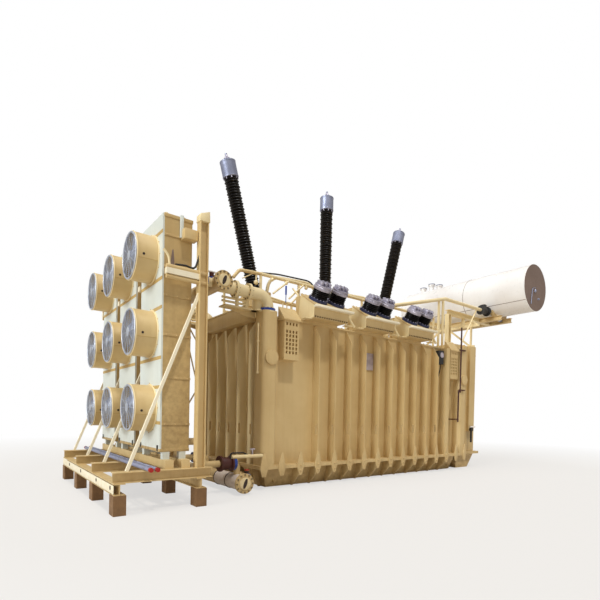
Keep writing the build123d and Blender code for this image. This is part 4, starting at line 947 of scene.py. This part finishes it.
def corner_lugs():
    """Lugs and gussets at the corner ducts, in line with the frame's own."""
    lugs = []
    for x in (-3.93, -3.45, 3.45, 3.93):
        for side in ACROSS:
            y = side * (flange_high.y + 0.01)
            lug = slab("lug", (x - 0.095, y - 0.01, 0.46), (x + 0.095, y + 0.01, flange_high.z))
            drawn(lug, UP, (0, 0, 0.29), (0.26, 1, 1), (x, y, flange_high.z + 0.29))
            drawn(lug, DOWN, (0, 0, -0.16), (0.55, 1, 1), (x, y, 0.3))
            lugs.append(soften(lug, 0.006))
            gusset = slab("gusset", (x - 0.0125, side * 1.3 - 0.04, 0.1),
                          (x + 0.0125, side * 1.3 + 0.04, flange_low.z))
            resized(gusset, UP, (1, 6.0, 1), (x, side * 1.395, flange_low.z))
            lugs.append(gusset)
    group("corner_lugs", lugs, cream)


def rail_fittings():
    """Bent end of the front rail, its knobs and stays, thin lines inside it and the turrets' gas pipes."""
    y, z = RAIL_Y, RAIL_Z
    finish(pipe("rail_end", [(-3.5, y, z), (-4.14, y, z - 0.03), (-4.3, y, z - 0.24)], 0.15, 0.04), cream)
    knobs = [ball("knob", (-3.69, y, 4.84), 0.055)]
    knobs += [ball("knob", (x, y - 0.03, 4.99), 0.045) for x in (-3.25, -2.83, -2.2)]
    group("rail_knobs", knobs, cream_painted_highlight)
    stays = [upright(-3.69, y, z, 4.86, 0.018), ((-4.06, y, 4.86), (-3.78, y, 5.03), 0.012),
             ((-3.23, -0.8, 4.65), (-2.77, -0.8, 5.04), 0.022),
             ((-2.75, -0.8, 4.61), (-2.3, -0.8, 5.04), 0.022)]
    stays += [upright(x, -1.0, cover_high.z, top, 0.014) for x,
              top in ((-3.43, 4.5), (-3.07, 4.46), (-2.95, 4.44))]
    rods("rail_stays", stays, cream_painted_highlight)
    line = [(-3.67, -1.0, 4.61), (-3.43, -1.0, 4.48), (-2.84, -1.0, 4.42), (-2.6, -1.0, 4.67),
            (-2.6, -0.75, 4.9)]
    finish(pipe("rail_line", line, 0.12, 0.022, 8), cream_painted_highlight)
    rods("rail_marker", [upright(-3.0, -1.02, low, high, radius)
                         for low, high, radius in ((4.62, 4.83, 0.022), (4.42, 4.63, 0.01))], blue_paint)
    y = 0.4
    gas = [pipe("gas", [(start, y, 4.6), (start + 0.1, y, 5.5), (end - 0.1, y, 5.6), (end, y, 4.6)], 0.45,
                0.045)
           for start, end in ((-2.7, -0.84), (-0.36, 1.58))]
    group("turret_gas_pipes", gas, cream_painted_highlight)
    cable = [(-3.5, -0.7, 5.12), (-2.76, -0.3, 5.34), (-1.66, -0.3, 5.38), (-1.0, 0.0, 4.9)]
    finish(pipe("rail_cable", cable, 0.5, 0.02, 8), black_rubber)


def header_brackets():
    """Trunk, with a pale strip along its top edge that is a painted highlight, and brackets at the upper
    branches, a valve on the header, and stacks and vents of the ducts.
    """
    shelves, webs, posts, stacks, vents = [], [], [], [], []
    for side in ACROSS:
        y = side * 1.2
        shelves.append(((-4.8, y - 0.15, 4.0), (-3.96, y + 0.15, 4.03)))
        web = slab("web", (-4.75, y - 0.01, 3.86), (-3.97, y + 0.01, 4.0))
        resized(web, DOWN, (0.25, 1, 1), (-3.97, y, 3.86))
        webs.append(web)
        y = side * 1.3
        posts += [upright(x, y, 4.02, 4.32, 0.04) for x in (-4.49, -4.26)]
        posts += [lengthwise(y, z, -4.85, -4.2, 0.026) for z in (4.1, 4.18)]
        stacks += [turned("stack", [(0.16, 0.0), (0.16, 0.03), (0.125, 0.031), (0.125, 0.3), (0.11, 0.33)],
                          standing((-3.96, y, 4.0)), 32),
                   turned("ring", [(0.2, -0.03), (0.2, 0.0)], standing((-DUCT_X, side * DUCT_Y, 4.0)), 40)]
        vents += [upright(-4.01, side * 1.42, low, high, radius)
                  for low, high, radius in ((2.6, 3.72, 0.018), (3.3, 3.34, 0.028), (2.6, 2.64, 0.028))]
    plates("header_shelves", shelves, cream_painted_highlight)
    plates("end_trunk", [((-4.09, -1.04, 3.82), (-3.86, 1.04, 4.16))], cream)
    # Thin strip in the lighter cream along the trunk's top: painted highlight for a lit top edge.
    plates("end_trunk_highlight_strip", [((-4.11, -1.05, 4.16), (-3.88, 1.05, 4.185))], cream_painted_highlight)
    group("header_webs", webs, cream)
    rods("header_posts", posts, cream_painted_highlight)
    group("duct_stacks", stacks, cream_painted_highlight)
    rods("duct_vent_pipes", vents, cream_painted_highlight)
    x, y = -5.05, -1.2
    rods("header_valve_ring", [upright(x, y, 4.46, 4.56, 0.07)], blue_paint)
    rods("header_valve_body", [upright(x, y, 4.56, 4.66, 0.05), ((-4.98, y, 4.6), (-4.86, y, 4.62), 0.03)],
         maroon)
    rods("header_valve_bar", [lengthwise(y, 4.68, -5.16, -4.96, 0.022)], vessel_white)


def frame_fittings():
    """Bracing rods, side arms, hooks and boxes of the cooler frame, grey marks above the arms painted as
    shadow, and a pale plate on the edge beam's face, a painted highlight, with dark discs painted as the
    shade in its holes.
    """
    runs, arms, hooks, cables, marks, caps, bars, clips, boxes = [[] for _ in range(9)]
    for side in ACROSS:
        runs += [((ROD_X, side * 2.2, outer), (ROD_X, side * 0.84, inner), 0.014)
                 for outer, inner in ((2.92, 4.09), (2.1, 4.48), (2.18, 1.23))]
        y = side * POST_Y
        arms += [lengthwise(y, z, -6.4, -5.66, radius) for z, radius in ((4.22, 0.045), (4.05, 0.04))]
        hooks.append(pipe("hook", [(-6.34, y, 4.24), (-6.36, y, 4.4), (-6.45, y, 4.5)], 0.2, 0.022, 8))
        route = [(-6.24, y, 4.28), (-6.05, y, 4.3), (-5.88, y, 4.27), (-5.78, y, 4.6)]
        cables.append(pipe("cable", route, 0.1, 0.018, 8))
        # Grey tapered plate above each arm: painted shadow.
        mark = slab("mark", (-6.33, y - 0.02, 4.24), (-6.26, y + 0.02, 4.52))
        resized(mark, UP, (0.15, 1, 1), (-6.29, y, 4.52))
        marks.append(mark)
        for post_y in (y, side * INNER_POST_Y):
            cap = slab("cap", (-5.83, post_y - 0.09, 5.14), (-5.64, post_y + 0.09, 5.3))
            tilted(cap, UP, radians(22), "Y", (-5.735, post_y, 5.3))
            caps.append(soften(cap))
        bars.append(((-6.11, side * 2.14 - 0.02, 4.82), (-6.05, side * 2.14 + 0.02, 5.22)))
        clips += [((-6.42, side * y - 0.03, 1.0), (-6.4, side * y + 0.03, 1.1)) for y in (2.0, 1.04, 0.5)]
        boxes.append(((-6.08, side * 2.19 - 0.09, 4.79), (-5.83, side * 2.19 + 0.09, 4.97)))
    rods("frame_rods", runs, cream_painted_highlight, sides=8)
    rods("cooler_arms", arms, cream)
    group("cooler_hooks", hooks, cream_painted_highlight)
    group("arm_cables", cables, black_rubber)
    group("cooler_painted_shadow_marks", marks, end_shade_and_seam_grey)
    group("frame_post_caps", caps, cream_painted_highlight)
    plates("cooler_side_bars", bars, white_paint_and_painted_light)
    plates("cooler_clips", clips, black_rubber, width=0.002)
    plates("cooler_side_boxes", boxes, cream)
    low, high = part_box("tie_tubes")
    radius = (high.z - low.z) / 2
    rods("tube_ends", [crosswise(x, low.z + radius, side * (high.y - 0.05), side * (high.y + 0.008),
                                 radius + 0.004)
                       for x in (low.x + radius, high.x - radius) for side in ACROSS], red_paint)
    # Pale plate on the edge beam's -X face: painted highlight for its lit side.
    plates("edge_beam_highlight_face", [((-7.238, -2.38, 0.355), (-7.228, 2.38, 0.495))], pale_cream_painted_highlight)
    # Dark discs on the beam: painted shade for its holes.
    rods("edge_beam_painted_holes", [lengthwise(y, 0.44, -7.2, -7.243, 0.035) for y in (-2.2, -1.2, 0.2, 1.5)],
         hole_shade_and_dark_paint)
    hose = (-5.72, -1.55, 0.7), (-5.6, -1.62, 0.52), (-5.5, -1.5, 0.3)
    rods("frame_hoses", [(*ends, 0.025) for ends in zip(hose, hose[1:])], white_paint_and_painted_light)


def valve_fittings():
    """Valve, guard pipe, lever and sleeve at the near lower pipes, and small valves at the tank's ends."""
    y, z = VALVE_Y, VALVE_Z
    outline = [(0.168, 0.0), (0.168, 0.04), (0.125, 0.055), (0.135, 0.15), (0.125, 0.24), (0.165, 0.255),
               (0.165, 0.29)]
    finish(turned("body", outline, standing((-4.96, y, z), (1, 0, 0)), 32), maroon)
    rods("valve_ring", [lengthwise(y, z, -4.67, -4.6, 0.15)], blue_paint, sides=32)
    y = -1.62
    rods("valve_guard_pipe", [lengthwise(y, 0.78, -4.72, -3.97, 0.04)], cream_painted_highlight)
    rods("valve_lever", [upright(-4.22, y, 0.8, 0.93, 0.016), lengthwise(y, 0.93, -4.28, -4.16, 0.014)],
         plate_metal)
    y = -1.6
    cable = [(-4.74, y, 0.7), (-4.74, y, 0.86), (-4.44, y, 0.86), (-4.3, y, 0.8)]
    finish(pipe("valve_cable", cable, 0.06, 0.016, 8), black_rubber)
    x, z = -4.54, 0.24
    rods("header_sleeve", [crosswise(x, z, -1.74, -0.75, 0.166)], sleeve_grey, sides=40)
    rods("header_sleeve_bands", [crosswise(x, z, y, y + 0.02, 0.174) for y in (-1.3, -0.77)], hole_shade_and_dark_paint,
         sides=40)
    x, y, z = -4.4, -1.7, 0.36
    pump_x, pump_y = 4.75, -1.14
    rods("drain_valves", [upright(x, y, 0.33, 0.47, 0.05), upright(pump_x, pump_y, 0.56, 0.3, 0.06),
                          lengthwise(pump_y, z, pump_x, 4.52, 0.05), lengthwise(pump_y, z, 4.42, 4.3, 0.08)],
         hole_shade_and_dark_paint)
    rods("drain_handles", [upright(x, y, 0.49, 0.51, 0.05), crosswise(4.41, 0.4, -1.22, -1.24, 0.08)],
         red_paint)
    rods("drain_flanges", [lengthwise(pump_y, z, 4.3, 4.27, 0.11), lengthwise(pump_y, z, 4.52, 4.49, 0.11),
                           crosswise(x, 0.4, y, -1.82, 0.03)], shield_metal)
    rods("compartment_valve", [crosswise(4.74, 1.32, -1.25, -1.42, 0.07),
                               ((4.74, -1.38, 1.3), (4.74, -1.38, 0.86), 0.035)],
         black_rubber)
    rods("compartment_bar", [lengthwise(-1.42, 1.4, 4.6, 4.9, 0.025)], vessel_white)
    rods("compartment_end_pump", [lengthwise(-0.95, 3.95, 5.08, 5.3, 0.2),
                                  lengthwise(-0.95, 3.95, 5.28, 5.33, 0.13)],
         timber)


def duct_trim():
    """Bolts and raised rims on the corner ducts' round covers."""
    rims, places = [], []
    face_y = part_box("corner_ducts")[1].y
    for end in ACROSS:
        for side in ACROSS:
            centre = Vector((end * DUCT_X, side * face_y, 2.96))
            axis = Vector((0, side, 0))
            rims.append(turned("rim", [(0.168, -0.002), (0.168, 0.006), (0.15, 0.012), (0.06, 0.014)],
                               standing(centre, axis), 40))
            places += ring_places(centre + axis * 0.004, axis, 0.155, 12)
    group("duct_cover_rims", rims, cream)
    bolts("duct_cover_bolts", places, 0.02)


def header_trim():
    """Bolted blind flanges on the ends of both headers, and the bolted rings on the branches."""
    places, plugs, rims = [], [], []
    for node, bolt_radius, radius in (("upper_header", 0.17, 0.195), ("lower_header", 0.185, 0.21)):
        low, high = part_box(node)
        centre = (low + high) / 2
        for side in ACROSS:
            y = low.y if side < 0 else high.y
            face = Vector((centre.x, y, centre.z))
            axis = Vector((0, side, 0))
            places += ring_places(face, axis, bolt_radius, 12)
            rims.append(turned("rim", [(radius * 0.62, -0.002), (radius * 0.62, 0.014),
                                       (radius * 0.58, 0.018),
                                       (radius * 0.4, 0.018)], standing(face, axis), 40))
            slot = Matrix.Rotation(side * 0.35, 4, "Z") @ Matrix.Diagonal((0.36, 1.0, 1.0, 1.0))
            plugs.append(turned("plug", [(radius * 0.52, 0.0), (radius * 0.52, 0.02), (radius * 0.46, 0.022)],
                                standing(face, axis) @ slot, 32))
    group("header_end_rims", rims, cream_painted_highlight)
    group("header_end_plugs", plugs, hole_shade_and_dark_paint)
    bolts("header_end_bolts", places, 0.032, bolt_metal)
    low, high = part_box("upper_header")
    z = (low.z + high.z) / 2
    ring_bolts = []
    for side in ACROSS:
        for x in (-4.62, -4.3):
            for end in ACROSS:
                ring_bolts += ring_places((x + end * 0.03, side * DUCT_Y, z), (end, 0, 0), 0.158, 10)
        ring_bolts += ring_places((-DUCT_X, side * DUCT_Y, 4.06), (0, 0, 1), 0.155, 12)
    bolts("branch_ring_bolts", ring_bolts, 0.026, bolt_metal)


# Conservator

def conservator_trim():
    """Weld seams, top fittings, end rims and the gauge and drain on the near end."""
    centre = (shell_low + shell_high) / 2
    radius = (shell_high.x - shell_low.x) / 2
    across = (pi / 2, 0, 0)
    seams = [torus("seam", (centre.x, -0.32, centre.z), radius, 0.009, 72, 6, across)]
    rims = [torus("rim", (centre.x, end, centre.z), radius - 0.002, 0.014, 72, 8, across)
            for end in (shell_low.y, shell_high.y)]
    x, z = centre.x + radius * cos(SEAM_ANGLE), centre.z + radius * sin(SEAM_ANGLE)
    seams.append(bar("seam", (x, shell_low.y, z), (x, shell_high.y, z), 0.009, 6))
    necks, caps = [], []
    for y, height in ((1.3, 0.14), (1.68, 0.26), (2.1, 0.18)):
        necks.append(turned("neck", [(0.1, -0.02), (0.1, height - 0.05), (0.14, height - 0.045),
                                     (0.14, height)],
                            standing((centre.x, y, shell_high.z)), 24))
        caps.append(turned("cap", [(0.145, 0.0), (0.145, 0.03), (0.1, 0.04), (0.04, 0.045)],
                           standing((centre.x, y, shell_high.z + height)), 24))
    near = shell_low.y - 0.02
    fittings = []
    fittings.append(turned("gauge", [(0.055, -0.002), (0.055, 0.03), (0.04, 0.05), (0.02, 0.055)],
                           standing((centre.x - 0.05, near, centre.z - 0.12), (0, -1, 0)), 24))
    fittings.append(turned("drain", [(0.035, -0.002), (0.035, 0.035), (0.02, 0.05)],
                           standing((centre.x + 0.22, near, centre.z - 0.36), (0, -1, 0)), 20))
    route = [(centre.x - x, near - 0.03, centre.z - z) for x, z in ((0.05, 0.02), (0.28, 0.06), (0.34, 0.62))]
    fittings.append(pipe("pipe", route, 0.3, 0.012, 8))
    group("conservator_seams", seams, end_shade_and_seam_grey)
    group("conservator_rims", rims, vessel_white)
    group("conservator_fittings", fittings, shield_metal)
    group("conservator_necks", necks, vessel_white)
    group("conservator_caps", caps, motor_grey)


# Fittings on the front

def front_fittings():
    """Blank plate, instrument window and its capillary line, and the white relay pipe with its ball valve and
    flanges.
    """
    wall = wall_low.y
    plate = slab("blank_plate", (-0.64, wall - 0.03, 2.96), (-0.29, wall - 0.004, 3.42))
    inset(plate, FRONT, 0.022, -0.006)
    finish(soften(plate, 0.003), plate_metal)
    low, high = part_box("instrument_box")
    window = turned("instrument_dial", [(0.085, -0.004), (0.085, 0.012), (0.075, 0.018), (0.07, 0.01)],
                    standing(((low.x + high.x) / 2, low.y, high.z - 0.14), (0, -1, 0)), 32)
    finish(window, plate_metal)
    x = (low.x + high.x) / 2 + 0.04
    route = [(x, low.y + 0.08, low.z + 0.02), (x, low.y + 0.08, low.z - 0.12),
             (x + 0.02, wall - 0.06, low.z - 0.4),
             (x + 0.03, wall - 0.05, 2.4), (x + 0.02, wall - 0.06, 1.5), (x + 0.05, wall - 0.02, 1.2)]
    finish(pipe("capillary", route, 0.3, 0.016, 8), black_rubber)
    y = -1.25
    relay = [(5.8, y, 5.62), (6.2, y, 5.6), (6.4, y, 5.44), (6.7, y, 5.44)]
    finish(pipe("relay_white_pipe", relay, 0.15, 0.06), vessel_white)
    finish(ball("relay_ball_valve", (6.74, y, 5.45), 0.09), shield_metal)
    rods("relay_flanges", [lengthwise(y, 5.6, x, x + 0.03, 0.17) for x in (5.36, 5.76)], black_rubber)


def add_camera():
    """Camera at the photograph's place and angle."""
    level = Vector((sin(CAMERA_YAW), cos(CAMERA_YAW), 0))
    side = Vector((cos(CAMERA_YAW), -sin(CAMERA_YAW), 0))
    up = Vector((0, 0, 1))
    look = level * cos(CAMERA_PITCH) + up * sin(CAMERA_PITCH)
    rise = up * cos(CAMERA_PITCH) - level * sin(CAMERA_PITCH)
    right = side * cos(CAMERA_ROLL) + rise * sin(CAMERA_ROLL)
    top = rise * cos(CAMERA_ROLL) - side * sin(CAMERA_ROLL)
    lens = bpy.data.cameras.new("camera")
    lens.sensor_width = SENSOR_WIDTH
    lens.lens = FOCAL_PIXELS / IMAGE_SIZE * SENSOR_WIDTH
    lens.shift_x = 0.5 - CENTRE_PIXEL[0] / IMAGE_SIZE
    lens.shift_y = CENTRE_PIXEL[1] / IMAGE_SIZE - 0.5
    lens.clip_end = 200.0
    camera = bpy.data.objects.new("camera", lens)
    scene.collection.objects.link(camera)
    turn = Matrix((right, top, -look)).transposed().to_4x4()
    camera.matrix_world = Matrix.Translation(CAMERA_PLACE) @ turn
    scene.camera = camera


def add_floor():
    """Pale floor that fades into the white surroundings and keeps the shadow."""
    deselect()
    bpy.ops.mesh.primitive_circle_add(vertices=96, radius=60.0, fill_type="NGON", location=(0, 0, -0.001))
    floor = settle(named("studio_floor"))
    material, tree, shader, coordinates = material_base("studio_floor")
    nodes, link = tree.nodes, tree.links.new
    shader.inputs["Base Color"].default_value = (0.6, 0.56, 0.5, 1.0)
    shader.inputs["Roughness"].default_value = 0.9
    white = nodes.new("ShaderNodeEmission")
    white.inputs["Color"].default_value = (1.0, 1.0, 1.0, 1.0)
    path = nodes.new("ShaderNodeLightPath")
    length = nodes.new("ShaderNodeVectorMath")
    length.operation = "LENGTH"
    link(coordinates, length.inputs[0])
    far = remap(tree, length.outputs["Value"], 9.0, 22.0, 0.6, 1.0)
    share = nodes.new("ShaderNodeMath")
    share.operation = "MULTIPLY"
    link(far, share.inputs[0])
    link(path.outputs["Is Camera Ray"], share.inputs[1])
    mix = nodes.new("ShaderNodeMixShader")
    link(share.outputs["Value"], mix.inputs["Fac"])
    link(shader.outputs["BSDF"], mix.inputs[1])
    link(white.outputs["Emission"], mix.inputs[2])
    link(mix.outputs["Shader"], nodes["Material Output"].inputs["Surface"])
    floor.data.materials.append(material)


def add_light():
    """White surroundings, a high key light from the front, an overhead light and one from the cooler side."""
    world = bpy.data.worlds.new("studio")
    scene.world = world
    world.use_nodes = True
    nodes, link = world.node_tree.nodes, world.node_tree.links.new
    soft = nodes["Background"]
    soft.inputs["Color"].default_value = (1.0, 0.94, 0.87, 1.0)
    soft.inputs["Strength"].default_value = 0.4
    white = nodes.new("ShaderNodeBackground")
    white.inputs["Color"].default_value = (1.0, 1.0, 1.0, 1.0)
    white.inputs["Strength"].default_value = 1.0
    path = nodes.new("ShaderNodeLightPath")
    mix = nodes.new("ShaderNodeMixShader")
    link(path.outputs["Is Camera Ray"], mix.inputs["Fac"])
    link(soft.outputs["Background"], mix.inputs[1])
    link(white.outputs["Background"], mix.inputs[2])
    link(mix.outputs["Shader"], nodes["World Output"].inputs["Surface"])
    for name, direction, strength, angle, colour in (
            ("key", (0.05, 0.45, -0.89), 1.3, 4, (1.0, 0.98, 0.95)),
            ("overhead", (0.02, 0.02, -1.0), 0.6, 40, (0.97, 0.98, 1.0)),
            ("side", (0.93, 0.12, -0.3), 2.2, 30, (0.94, 0.98, 1.0))):
        lamp = bpy.data.lights.new(name, "SUN")
        lamp.energy = strength
        lamp.angle = radians(angle)
        lamp.color = colour
        holder = bpy.data.objects.new(name, lamp)
        holder.rotation_euler = Vector(direction).to_track_quat("-Z", "Y").to_euler()
        scene.collection.objects.link(holder)


add_camera()
add_floor()
add_light()
dress_nodes()
hv_bushings()
lv_side()
for number, centre in enumerate(fan_centres, start=1):
    fan_guard(number, centre)
fan_trim()
cooler_trim()
tank_trim()
corner_lugs()
duct_trim()
header_trim()
header_brackets()
rail_fittings()
frame_fittings()
valve_fittings()
conservator_trim()
front_fittings()
